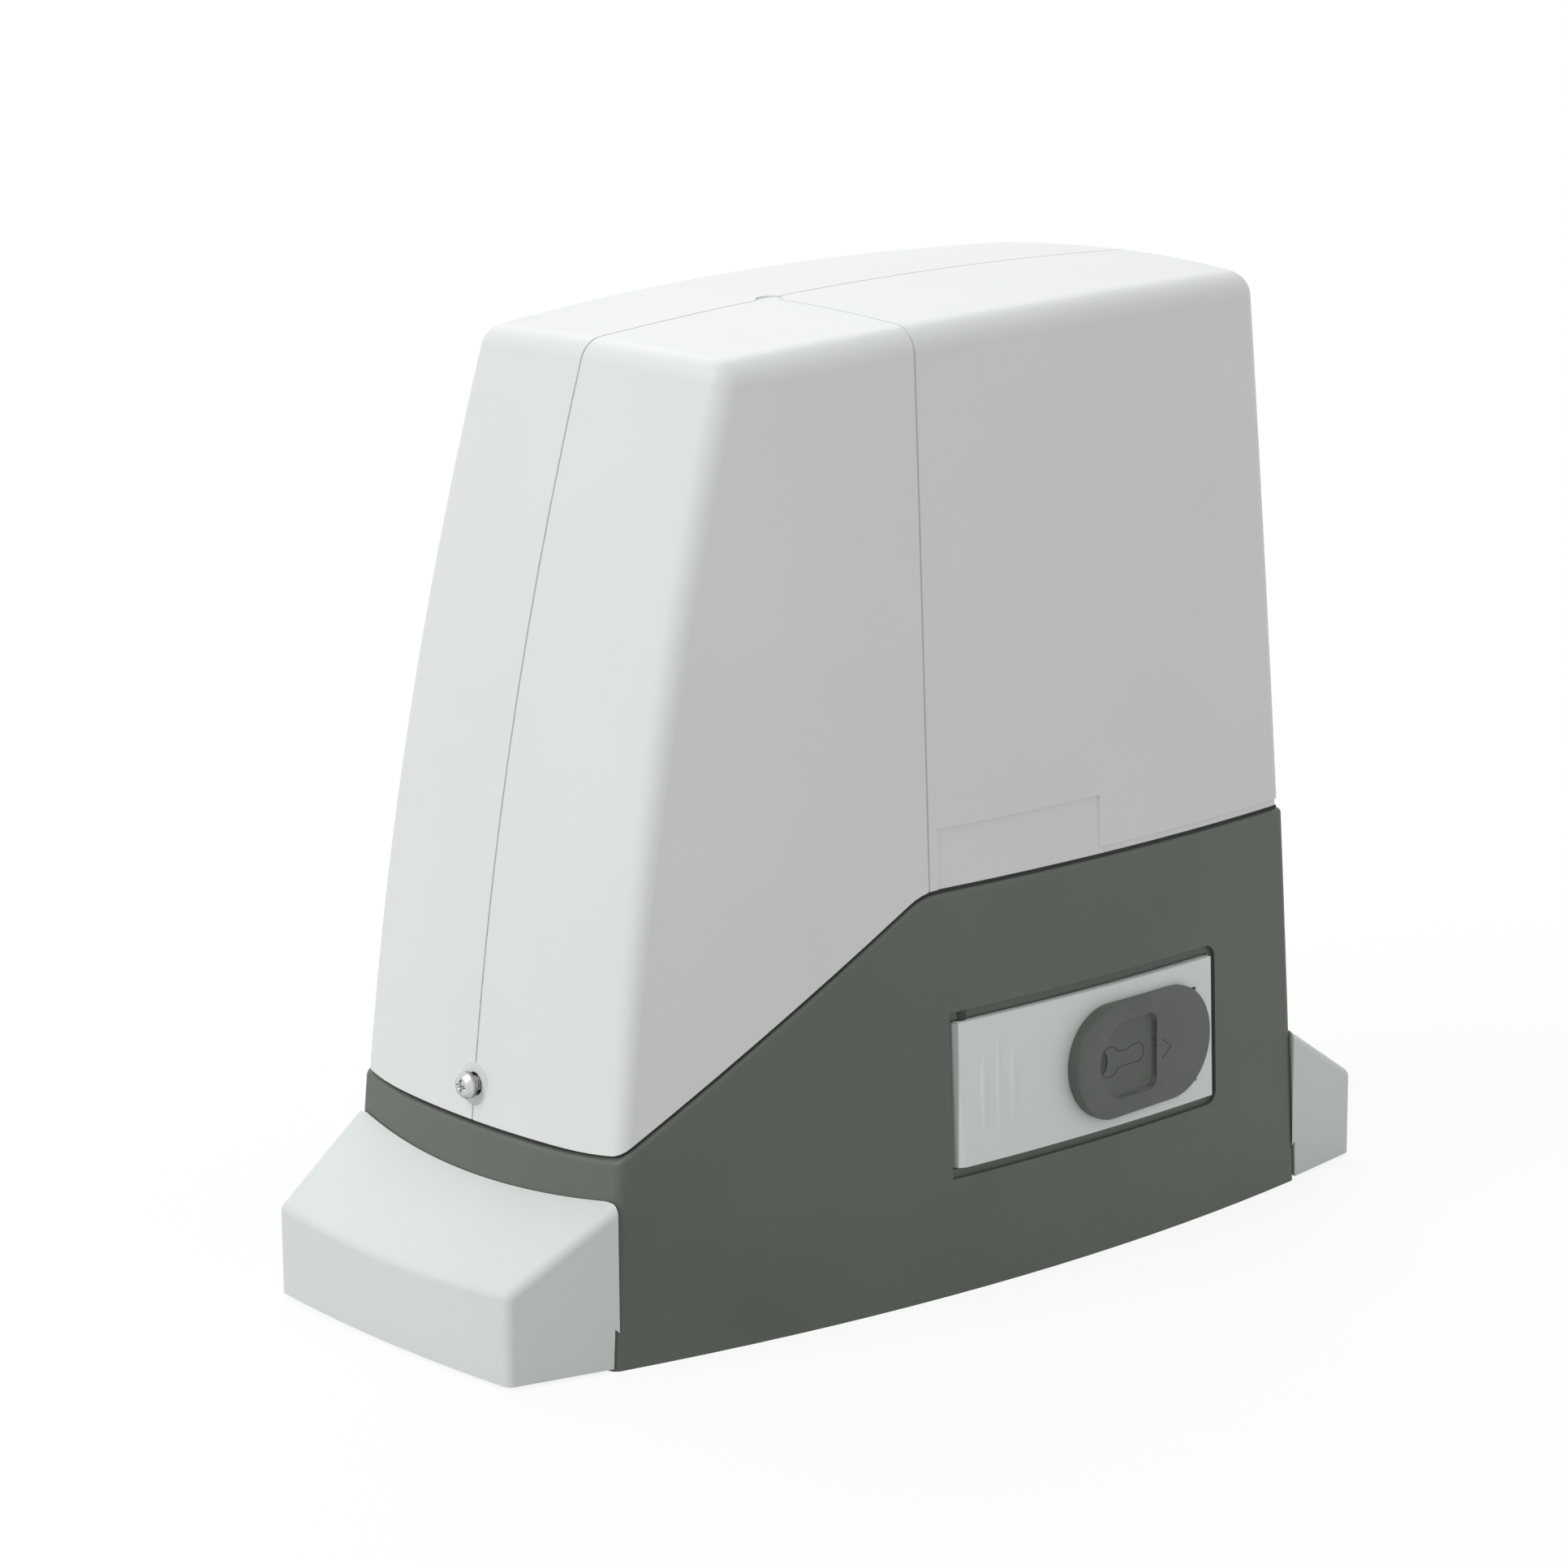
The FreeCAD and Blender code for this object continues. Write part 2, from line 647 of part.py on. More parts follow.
def base_casing():
    skin = common(casing_form(), seam_block("0"))

    def rims(edge):
        low, high = ends_of(edge, "z")
        if low < 1 and high > SIZES["seam_low"] - 1:
            return SIZES["case_corner"], SIZES["case_corner"]
        if low > SIZES["seam_low"] - 1 and edge.Curve.TypeId != "Part::GeomLine":
            return SIZES["rim_round"], SIZES["rim_round"]
        return None
    skin = rounded(skin, rims)

    def uprights(radius):
        def chosen(edge):
            low, high = ends_of(edge, "z")
            return (radius, radius) if high - low > SIZES["seam_low"] / 2 else None
        return chosen
    lip = rounded(common(casing_form("hood_inset", "hood_wall", "slip"), seam_block("lip_height")),
                  uprights(SIZES["lip_corner"]))
    lip_thick = SIZES["case_wall"] - SIZES["hood_inset"] - SIZES["hood_wall"] - SIZES["slip"]
    hollow = rounded(common(casing_form("case_wall"),
                            box(("-half_length*1.5", "-half_depth*1.5", "floor_thick"),
                                ("half_length*1.5", "half_depth*1.5", "hood_top"))),
                     uprights(SIZES["lip_corner"] - lip_thick))
    shell = cut(fuse(skin, lip), hollow)
    tray = common(casing_form(), box(
        ("-recess_left-recess_wall", "-half_depth*1.5", "recess_low-recess_wall-rim_wide"),
        ("recess_right+recess_wall+rim_wide", "-recess_back+recess_wall",
         "recess_high+recess_wall+rim_wide")))
    adds = [shell, tray]
    cuts = []
    for side in (-1, 1):
        adds.append(signed_box(side, "half_length-case_wall+1", FLANGE_END,
                               ("-" + FLANGE_SIDE, "0"), (FLANGE_SIDE, "flange_thick")))
        for across in (-1, 1):
            along = "%d*%s" % (side, SLOT_ALONG)
            deep = "%d*%s" % (across, SLOT_ACROSS)
            cuts.append(box((along + "-slot_straight/2", deep + "-slot_radius", "-1"),
                            (along + "+slot_straight/2", deep + "+slot_radius", "flange_thick+1")))
            for end in (-1, 1):
                cuts.append(rod("slot_radius", "-1", "flange_thick+1",
                                (along + "+%d*slot_straight/2" % end, deep)))
            spot = ("%d*%s" % (side, LEVELLER_ALONG), "%d*leveller_across" % across)
            adds.append(rod("leveller_boss", "0", "leveller_boss_high", spot))
            cuts.append(rod("leveller_radius+running", "-1", "leveller_boss_high+1", spot))
    for side, height in ((-1, "screw_low"), (1, "screw_high")):
        adds.append(screw_lug(side, height))
        notch = ("-half_length", "-half_length*0.85") if side < 0 else ("half_length*0.85", "half_length")
        cuts.append(box((notch[0], "-screw_boss-slip*2", "%s-screw_boss-slip*2" % height),
                        (notch[1], "screw_boss+slip*2", "%s+screw_boss" % height)))
    for x in ("-foot_plate_left+foot_bolt_inset", "foot_plate_right-foot_bolt_inset"):
        for y in ("-foot_plate_front+foot_bolt_inset", "foot_plate_rear-foot_bolt_inset"):
            adds.append(rod("foot_bolt_boss", "floor_thick/2", "foot_plate_low", (x, y)))
            cuts.append(rod("foot_bolt+running", "floor_thick/2", "foot_plate_low+1", (x, y)))
    adds.append(common(casing_form(), box(
        ("-sensor_half-2", "sensor_front-2", "sensor_shelf"),
        ("sensor_half+2", "half_depth*1.5", "sensor_shelf+3"))))
    pocket = box(("-recess_left", "-half_depth*1.5", "recess_low"),
                 ("recess_right", "-recess_back", "recess_high"))
    rim = rounded(box(("-recess_left", "-half_depth*1.5", "recess_low-rim_wide"),
                      ("recess_right+rim_wide", "-half_depth/2", "recess_high+rim_wide")),
                  along_y(lambda x: SIZES["rim_corner"] if x > 0 else 0))
    step = cut(rim, casing_form("rim_step"))
    cuts.append(pocket)
    cuts.append(step)
    cuts.append(rod("hinge_pin+running/2", "recess_low-recess_wall", "recess_high+recess_wall",
                    ("-hinge_along", "-hinge_deep")))
    cuts.append(rod("button_radius+running*3", "-recess_back-1", "-recess_back+recess_wall+1",
                    ("0", "shaft_height"), "Y"))
    cuts.append(rod("rear_boss+slip", "half_depth/2", "half_depth*1.5", ("0", "shaft_height"), "Y"))
    cuts.append(rod("entry_radius", "-1", "floor_thick+1", ("-entry_along", "0")))
    return part("base_casing", cut(fuse(*adds), *cuts))


def lug_outer(height):
    """Distance from the middle to the outer face of the slotted lug, per side."""
    if height == "screw_low":
        wall = "(half_length-left_lean*%s-left_curve*%s^2+end_bulge-end_bulge_fall*%s)"
    else:
        wall = "(half_length-right_lean*%s-right_curve*%s^2+end_bulge-end_bulge_fall*%s)"
    wall = wall % (height, height, height)
    return wall + "-hood_inset"


def signed_box(side, near, far, low, high):
    """A block between two distances from the middle, on the left (-1) or the right (+1)."""
    if side < 0:
        return box(("-(%s)" % far, low[0], low[1]), ("-(%s)" % near, high[0], high[1]))
    return box((near, low[0], low[1]), (far, high[0], high[1]))


def signed_rod(side, radius, near, far, height):
    if side < 0:
        return rod(radius, "-(%s)" % far, "-(%s)" % near, ("0", height), "X")
    return rod(radius, near, far, ("0", height), "X")


def screw_lug(side, height):
    outer = lug_outer(height) + "-screw_well_deep-screw_boss_floor-slip"
    inner = outer + "-lug_thick"
    tab = signed_box(side, inner, outer, ("-lug_half", "%s-29" % height),
                     ("lug_half", "%s+nut_across" % height))
    rib = signed_box(side, inner, "half_length", ("-lug_half", "%s-29" % height),
                     ("lug_half", "%s-screw_boss-slip-4" % height))
    slot = signed_box(side, inner + "-1", outer + "+1",
                      ("-screw_radius-slip", "%s-screw_radius-slip" % height),
                      ("screw_radius+slip", "%s+nut_across+1" % height))
    return cut(fuse(tab, rib), slot)


def hood():
    top_round = SIZES["shoulder"]

    def shape(insets, drop, corner, shoulder):
        block = common(casing_form(*insets), crown_block(drop))

        def rims(edge):
            low, high = ends_of(edge, "z")
            if high - low > SIZES["hood_top"] / 2:
                rising = edge.valueAt(edge.FirstParameter).z < edge.valueAt(edge.LastParameter).z
                return (corner, shoulder) if rising else (shoulder, corner)
            if low > SIZES["hood_top"] / 2:
                return shoulder, shoulder
            return None
        return rounded(block, rims)

    outer = shape(("hood_inset",), "0", SIZES["hood_corner"], top_round)
    inner = shape(("hood_inset", "hood_wall"), "hood_wall",
                  SIZES["hood_corner"] - SIZES["hood_wall"] + 1, top_round - SIZES["hood_wall"])
    bosses = []
    wells = []
    for side, height in ((-1, "screw_low"), (1, "screw_high")):
        floor = lug_outer(height) + "-screw_well_deep"
        bosses.append(signed_rod(side, "screw_boss", floor + "-screw_boss_floor",
                                 "half_length*1.2", height))
        wells.append(signed_rod(side, "screw_well", floor, "half_length*1.2", height))
        wells.append(signed_rod(side, "screw_radius+slip/2", floor + "-screw_boss_floor-1",
                                floor + "+1", height))
    shell = fuse(cut(outer, inner), *[common(outer, b) for b in bosses])
    return part("hood", cut(shell, seam_block("seam_gap"), *(wells + [hood_lines(shape)])))


def hood_lines(shape):
    """The fine grooves, the dimple where they meet, and the rebate along the lower edge."""
    deep = SIZES["groove_depth"]
    below = shape(("hood_inset", "groove_depth"), "groove_depth",
                  SIZES["hood_corner"] - deep, SIZES["shoulder"] - deep)
    lengthways = box(("-half_length*1.2", "-groove_width/2", "seam_low"),
                     ("half_length*1.2", "groove_width/2", "hood_top+1"))
    down_front = box(("-groove_along-groove_width/2", "-half_depth*1.5", "seam_low"),
                     ("-groove_along+groove_width/2", "0", "hood_top+1"))
    dimple = rod("dimple", "hood_top/2", "hood_top+1", ("-groove_along", "0"))
    rebated = shape(("hood_inset", "rebate_depth"), "rebate_depth",
                    SIZES["hood_corner"] - SIZES["rebate_depth"], SIZES["shoulder"] - deep)
    plaque = box(("-plaque_start", "-half_depth*1.5", "seam_high"),
                 ("plaque_end", "0", "seam_high+plaque_high"))
    edge = box(("plaque_end-1", "-half_depth*1.5", "seam_high"),
               ("half_length*1.2", "half_depth*1.5", "seam_high+rebate_high"))
    return fuse(cut(fuse(lengthways, down_front, dimple), below), cut(fuse(plaque, edge), rebated))


def hood_seal():
    ring = cut(common(casing_form("rim_round"), seam_block("seam_gap-slip")),
               casing_form("hood_inset", "hood_wall"), seam_block("0"))
    return part("hood_seal", ring)


def hood_screws():
    """Pan head screws with a cross recess, one in each end wall of the hood."""
    screws = []
    for side, height in ((-1, "screw_low"), (1, "screw_high")):
        seat = lug_outer(height) + "+screw_stand"
        shank = signed_rod(side, "screw_radius", lug_outer(height)
                           + "-screw_well_deep-screw_boss_floor-slip*3-lug_thick-nut_thick-2", seat, height)
        profile = [("0", "0"), ("screw_head", "0"), ("screw_head", "screw_head_thick*0.45"),
                   ("screw_head*0.75", "screw_head_thick*0.85"), ("screw_head*0.4", "screw_head_thick"),
                   ("0", "screw_head_thick")]
        head = turned(profile, ("%d*(%s)" % (side, seat), "0", height))
        head.Placement = Placement(Vector(), Rotation(Vector(0, 1, 0), 90 * side))
        for letter, text in zip("xyz", ("%d*(%s)" % (side, seat), "0", height)):
            head.setExpression("Placement.Base." + letter, cells(text))
        slots = []
        for a, b in (("0.5", "screw_head*0.55"), ("screw_head*0.55", "0.5")):
            slots.append(signed_box(side, seat + "+screw_head_thick*0.4", seat + "+screw_head_thick+1",
                                    ("-(%s)" % a, "%s-(%s)" % (height, b)),
                                    (a, "%s+(%s)" % (height, b))))
        screws.append(cut(fuse(shank, head), *slots))
    return part("hood_screws", group(*screws))


def hood_nuts():
    """Square nuts that stay on the hood screws behind the slotted lugs."""
    nuts = []
    for side, height in ((-1, "screw_low"), (1, "screw_high")):
        outer = lug_outer(height) + "-screw_well_deep-screw_boss_floor-slip*2-lug_thick"
        nut = signed_box(side, outer + "-nut_thick", outer,
                         ("-nut_across/2", "%s-nut_across/2" % height),
                         ("nut_across/2", "%s+nut_across/2" % height))
        hole = signed_rod(side, "screw_radius+running/2", outer + "-nut_thick-1", outer + "+1", height)
        nuts.append(cut(nut, hole))
    return part("hood_screw_nuts", group(*nuts))


def foot_form(side, inset):
    """The outer form of a foot cover, set in by inset."""
    slope = "((half_depth-foot_half)/(foot_reach-half_length))"
    near = "half_length-case_corner/2"
    far = "foot_reach+foot_bulge+5"
    wide = "(half_depth+(half_length-(%s))*%s-(%s))"
    near_deep = wide % (near, slope, inset)
    far_deep = wide % (far, slope, inset)
    points = [(near, "-" + near_deep), (far, "-" + far_deep), (far, far_deep), (near, near_deep)]
    points = [("%d*(%s)" % (side, x), y) for x, y in points]
    plan = prism("XY_Plane", points, "hood_top")
    radius = "(foot_half^2+foot_bulge^2)/(2*foot_bulge)"
    end = rod(radius, "-hood_top/2", "hood_top/2",
              ("%d*(foot_reach+foot_bulge-(%s)-(%s))" % (side, radius, inset), "0"))
    fall = "((foot_join-foot_high)/(foot_reach-half_length))"
    roof = "(foot_join+(half_length-(%s))*%s-(%s)*1.15)"
    floor = "foot_lift" if inset == "0" else "foot_lift-1"
    points = [(near, floor), (far, floor), (far, roof % (far, fall, inset)), (near, roof % (near, fall, inset))]
    points = [("%d*(%s)" % (side, x), z) for x, z in points]
    return common(plan, end, prism("XZ_Plane", points, "half_depth*4"))


def foot_cover(name, side):
    def rims(edge):
        spot = edge.BoundBox
        if abs(spot.Center.x) > SIZES["half_length"] and spot.ZMax > SIZES["foot_high"] / 3:
            if spot.ZLength > 5 or spot.YLength > 5:
                return SIZES["foot_round"], SIZES["foot_round"]
        return None
    outer = rounded(foot_form(side, "0"), rims)
    inner = foot_form(side, "foot_wall")
    return part(name, cut(outer, inner, casing_form("-slip")))


def levelling_screws():
    screws = []
    for side in (-1, 1):
        for across in (-1, 1):
            spot = ("%d*%s" % (side, LEVELLER_ALONG), "%d*leveller_across" % across)
            screw = rod("leveller_radius", "0.3", "0.3+leveller_long", spot)
            hexagon = doc.addObject("Part::Prism", "socket")
            hexagon.Polygon = 6
            bind(hexagon, Circumradius="leveller_radius*0.55", Height="leveller_radius+1")
            place(hexagon, (spot[0], spot[1], "0.3+leveller_long-leveller_radius"))
            screws.append(cut(screw, hexagon))
    return part("levelling_screws", group(*screws))


def cable_grommet():
    profile = [("grommet_bore", "0.5"), ("entry_radius-slip", "0.5"), ("entry_radius-slip", "floor_thick"),
               ("entry_radius+grommet_lip", "floor_thick"),
               ("entry_radius+grommet_lip", "floor_thick+2"), ("grommet_bore", "floor_thick+3")]
    return part("cable_grommet", turned(profile, ("-entry_along", "0", "0")))


# ---------------------------------------------------------------- release lever and lock

def hinge_pin():
    pin = rod("hinge_pin", "recess_low-recess_wall+0.5", "recess_high+recess_wall-0.5",
              ("-hinge_along", "-hinge_deep"))
    return part("lever_hinge_pin", pin)


def release_lever():
    low = "recess_low+lever_gap"
    high = "recess_high-lever_gap"
    face = casing_form("-lever_proud")
    panel = common(face, box(("-hinge_along", "-half_depth*1.5", low),
                             ("recess_right-lever_gap", "-lever_back", high)))
    barrel = common(face, rod("hinge_round", low, high, ("-hinge_along", "-hinge_deep")))
    heel = box(("-heel_half", "-lever_back-1", "shaft_height-heel_high/2"),
               ("heel_half", "-recess_back-button_cap_thick-slip*3", "shaft_height+heel_high/2"))
    ridges = []
    lean = math.degrees(math.atan(SIZES["side_lean"] + SIZES["side_bulge_fall"]))
    for step in (-1, 0, 1):
        ridge = doc.addObject("Part::Ellipsoid", "ridge")
        bind(ridge, Radius1="ridge_long-%d*4" % abs(step), Radius2="ridge_half", Radius3="ridge_proud*2")
        wall = "(half_depth+side_bulge-(side_lean+side_bulge_fall)*cover_mid+lever_proud-ridge_proud)"
        place(ridge, ("%d*ridge_step-ridge_mid" % step, "-" + wall, "cover_mid"),
              Rotation(Vector(1, 0, 0), -lean))
        ridges.append(ridge)
    bore = rod("hinge_pin+running", "recess_low", "recess_high", ("-hinge_along", "-hinge_deep"))
    lock_hole = rod("lock_radius+lock_shell+running/2", "-half_depth*1.5", "-recess_back",
                    ("lock_along", "cover_mid"), "Y")
    slots = []
    for off in (-1, 1):
        mid = "cover_mid+%d*rail_off" % off
        slots.append(box(("rail_left-slip", "-half_depth*1.5", mid + "-rail_half-slip"),
                         ("rail_left+rail_long+cover_travel+slip", "-recess_back",
                          mid + "+rail_half+slip")))
    return part("release_lever", cut(fuse(panel, barrel, heel, *ridges), bore, lock_hole, *slots))


def wall_at(along, height="cover_mid"):
    """How far the front wall stands out at a distance along and a height."""
    half = "(half_length-(left_lean+right_lean)/2*%s)" % height
    return ("(half_depth-side_lean*%s+(side_bulge-side_bulge_fall*%s)*(1-((%s)/%s)^2))"
            % (height, height, along, half))


def lock_cover():
    """Wedge-shaped slider with a finger dish; thick at the left, thin at the right."""
    left_mid = "(cover_left+cover_round)"
    right_mid = "(cover_right-cover_round)"
    reach = ("-half_depth*1.6", "-lever_back")
    stadium = fuse(
        box((left_mid, reach[0], "cover_mid-cover_round"), (right_mid, reach[1], "cover_mid+cover_round")),
        rod("cover_round", reach[0], reach[1], (left_mid, "cover_mid"), "Y"),
        rod("cover_round", reach[0], reach[1], (right_mid, "cover_mid"), "Y"))
    behind = casing_form("-lever_proud", "-cover_gap")
    left_face = wall_at("cover_left") + "+lever_proud+cover_thick_left"
    right_face = wall_at("cover_right") + "+lever_proud+cover_thick_right"
    far = "half_depth*2"
    front = prism("XY_Plane", [("cover_left-20", "-(%s)" % far),
                               ("cover_right+20", "-(%s)" % far),
                               ("cover_right+20", "-(%s)+((%s)-(%s))*20/(cover_right-cover_left)"
                                % (right_face, left_face, right_face)),
                               ("cover_left-20", "-(%s)-((%s)-(%s))*20/(cover_right-cover_left)"
                                % (left_face, left_face, right_face))], "hood_top")
    dish_outline = [("dish_left", "-(%s)" % far), ("dish_right", "-(%s)" % far)]
    fall = "((%s)-(%s))/(cover_right-cover_left)" % (left_face, right_face)
    floor_left = "-(%s)+(dish_left-cover_left)*%s+dish_deep" % (left_face, fall)
    floor_right = "-(%s)+(dish_right-cover_left)*%s+dish_deep" % (left_face, fall)
    dish_outline += [("dish_right", floor_right), ("dish_left", floor_left)]
    dish = common(prism("XY_Plane", dish_outline, "hood_top"), rounded(
        box(("dish_left", "-(%s)" % far, "cover_mid-dish_half"), ("dish_right", "0", "cover_mid+dish_half")),
        along_y(lambda x: SIZES["dish_corner"] if x > (SIZES["dish_left"] + SIZES["dish_right"]) / 2
                else SIZES["dish_bow"])))

    def front_rim(edge):
        low, high = ends_of(edge, "x")
        straight = edge.Curve.TypeId == "Part::GeomLine" and high - low > SIZES["cover_round"]
        if straight or edge.Curve.TypeId == "Part::GeomEllipse":
            return SIZES["cover_edge"], SIZES["cover_edge"]
        return None
    plate = cut(rounded(cut(stadium, behind, front), front_rim), dish)
    rails = []
    for off in (-1, 1):
        mid = "cover_mid+%d*rail_off" % off
        rails.append(box(("rail_left", "-(%s)-lever_proud-cover_gap-rail_bite" % wall_at("rail_left"),
                          mid + "-rail_half"),
                         ("rail_left+rail_long", "-lever_back+slip", mid + "+rail_half")))
        rails.append(box(("rail_left", "-lever_back+slip", mid + "-rail_half-1.5"),
                         ("rail_left+rail_long", "-lever_back+slip+1.6", mid + "+rail_half+1.5")))
    return part("lock_cover", fuse(plate, *rails))


def lock():
    at = ("lock_along", "cover_mid")
    front = "-(%s)-lever_proud+lock_sink" % wall_at("lock_along")
    shell = cut(rod("lock_radius+lock_shell", front, "-lock_back", at, "Y"),
                rod("lock_radius+running", "-half_depth*1.5", "0", at, "Y"))
    part("lock_housing", shell)
    keyway = box(("lock_along-0.8", "-half_depth*1.5", "cover_mid-3.5"),
                 ("lock_along+0.8", front + "+6", "cover_mid+3.5"))
    part("lock_cylinder", cut(rod("lock_radius", front + "+0.3", "-lock_back+0.4", at, "Y"), keyway))
    cam = fuse(rod("lock_radius", "-lock_back+0.4", "-lock_back+0.4+lock_cam_thick", at, "Y"),
               box(("lock_along", "-lock_back+0.4", "cover_mid-3.5"),
                   ("lock_along+lock_cam_long", "-lock_back+0.4+lock_cam_thick", "cover_mid+3.5")))
    part("lock_cam", cam)


def release_button():
    at = ("0", "shaft_height")
    stem = rod("button_radius", "-recess_back-button_cap_thick", "-clutch_nose-slip", at, "Y")
    cap = rod("button_cap", "-recess_back-button_cap_thick-slip*2", "-recess_back-slip*2", at, "Y")
    return part("release_button", fuse(stem, cap))


# ---------------------------------------------------------------- gear train

SHAFT = ("0", "shaft_height")
WORM = ("gear_module*wheel_teeth/2+worm_pitch_radius", "wheel_mid")


def gearbox_housing():
    drum = rod("drum_radius", "-drum_front", "drum_rear", SHAFT, "Y")
    boss = rod("rear_boss", "drum_rear", "rear_boss_end", SHAFT, "Y")
    worm_drum = rod("worm_drum", "foot_plate_low", "motor_seat", WORM)
    flange = rod("flange_radius", "motor_seat-motor_flange", "motor_seat", WORM)
    plate = box(("-foot_plate_left", "-foot_plate_front", "foot_plate_low"),
                ("foot_plate_right", "foot_plate_rear", "foot_plate_low+foot_plate_thick"))
    cuts = [
        rod("chamber_radius", "-drum_front-1", "chamber_rear", SHAFT, "Y"),
        rod("shaft_collar+2", "chamber_rear-1", "rear_boss_end", SHAFT, "Y"),
        rod("rear_bearing_outer+running/2", "rear_boss_end-seal_wide-1-rear_bearing_wide",
            "rear_boss_end+1", SHAFT, "Y"),
        rod("worm_chamber", "foot_bearing_low+foot_bearing_wide", "motor_seat", WORM),
        rod("foot_bearing_outer+running/2", "foot_bearing_low", "motor_seat/2", WORM),
        rod("neck_bearing_outer+running/2", "motor_seat-neck_bearing_wide", "motor_seat+1", WORM),
    ]
    for angle in (30, 90, 150, 210, 270, 330):
        cuts.append(rod("cover_screw+running/2", "-drum_front-1",
                        "-drum_front-cover_plate+cover_screw_long+0.5",
                        ("cover_screw_ring*cos(%d)" % angle,
                         "shaft_height+cover_screw_ring*sin(%d)" % angle), "Y"))
    for spot in tie_spots():
        cuts.append(rod("tie_radius+running/2", "motor_seat-motor_flange-1", "motor_seat+1", spot))
    for spot in foot_bolt_spots():
        cuts.append(rod("foot_bolt+running*4", "foot_plate_low-1",
                        "foot_plate_low+foot_plate_thick+1", spot))
    return part("gearbox_housing", cut(fuse(drum, boss, worm_drum, flange, plate), *cuts))


def tie_spots():
    spots = []
    for angle in (45, 135, 225, 315):
        spots.append(("%s+tie_ring*cos(%d)" % (WORM[0], angle), "%s+tie_ring*sin(%d)" % (WORM[1], angle)))
    return spots


def foot_bolt_spots():
    return [(x, y) for x in ("-foot_plate_left+foot_bolt_inset", "foot_plate_right-foot_bolt_inset")
            for y in ("-foot_plate_front+foot_bolt_inset", "foot_plate_rear-foot_bolt_inset")]


def gearbox_cover():
    face = "-drum_front-cover_plate"
    hub_end = "-drum_front-cover_hub_deep"
    body = fuse(rod("drum_radius", face, "-drum_front", SHAFT, "Y"),
                rod("cover_hub", hub_end, face, SHAFT, "Y"),
                rod("button_boss", "-recess_back+recess_wall", hub_end, SHAFT, "Y"))
    cuts = [
        rod("front_bearing_outer+running/2", "-shaft_front", "-drum_front+1", SHAFT, "Y"),
        rod("shaft_radius+1", "-shaft_front-2", "-drum_front", SHAFT, "Y"),
        rod("button_radius+running", "-recess_back", "-drum_front", SHAFT, "Y"),
    ]
    for angle in (30, 90, 150, 210, 270, 330):
        cuts.append(rod("cover_screw+running/2", face + "-1", "-drum_front+1",
                        ("cover_screw_ring*cos(%d)" % angle,
                         "shaft_height+cover_screw_ring*sin(%d)" % angle), "Y"))
    return part("gearbox_cover", cut(body, *cuts))


def gearbox_cover_screws():
    screws = []
    face = "-drum_front-cover_plate"
    for angle in (30, 90, 150, 210, 270, 330):
        at = ("cover_screw_ring*cos(%d)" % angle, "shaft_height+cover_screw_ring*sin(%d)" % angle)
        screws.append(fuse(rod("cover_screw", face, face + "+cover_screw_long", at, "Y"),
                           rod("cover_screw_head", face + "-cover_screw", face, at, "Y")))
    return part("gearbox_cover_screws", group(*screws))


def gearbox_bolts():
    bolts = []
    top = "foot_plate_low+foot_plate_thick"
    for spot in foot_bolt_spots():
        bolts.append(fuse(rod("foot_bolt", "floor_thick/2+0.5", top, spot),
                          rod("foot_bolt_head", top, top + "+foot_bolt*1.6", spot)))
    return part("gearbox_bolts", group(*bolts))


def bearings():
    start = "rear_boss_end-seal_wide-1-rear_bearing_wide"
    part("rear_bearing", bearing("shaft_radius+running", "rear_bearing_outer", start,
                                 "rear_bearing_wide", SHAFT))
    part("front_bearing", bearing("shaft_radius+running", "front_bearing_outer", "-shaft_front",
                                  "front_bearing_wide", SHAFT))
    part("worm_foot_bearing", bearing("worm_foot_radius+running", "foot_bearing_outer",
                                      "foot_bearing_low", "foot_bearing_wide", WORM, "Z"))
    part("worm_neck_bearing", bearing("worm_core+running", "neck_bearing_outer",
                                      "motor_seat-neck_bearing_wide", "neck_bearing_wide", WORM, "Z"))
    part("motor_top_bearing", bearing("worm_foot_radius+running", "top_bearing_outer",
                                      "stator_low+stator_long+bell_high-bell_wall-top_bearing_wide",
                                      "top_bearing_wide", WORM, "Z"))
    profile = [("shaft_radius+running", "0"), ("rear_bearing_outer", "0"),
               ("rear_bearing_outer", "seal_wide"), ("shaft_radius+5", "seal_wide"),
               ("shaft_radius+3", "seal_wide-2"), ("shaft_radius+running", "seal_wide-1.5")]
    part("shaft_seal", turned(profile, ("0", "rear_boss_end-seal_wide-0.5", "shaft_height"), "Y"))


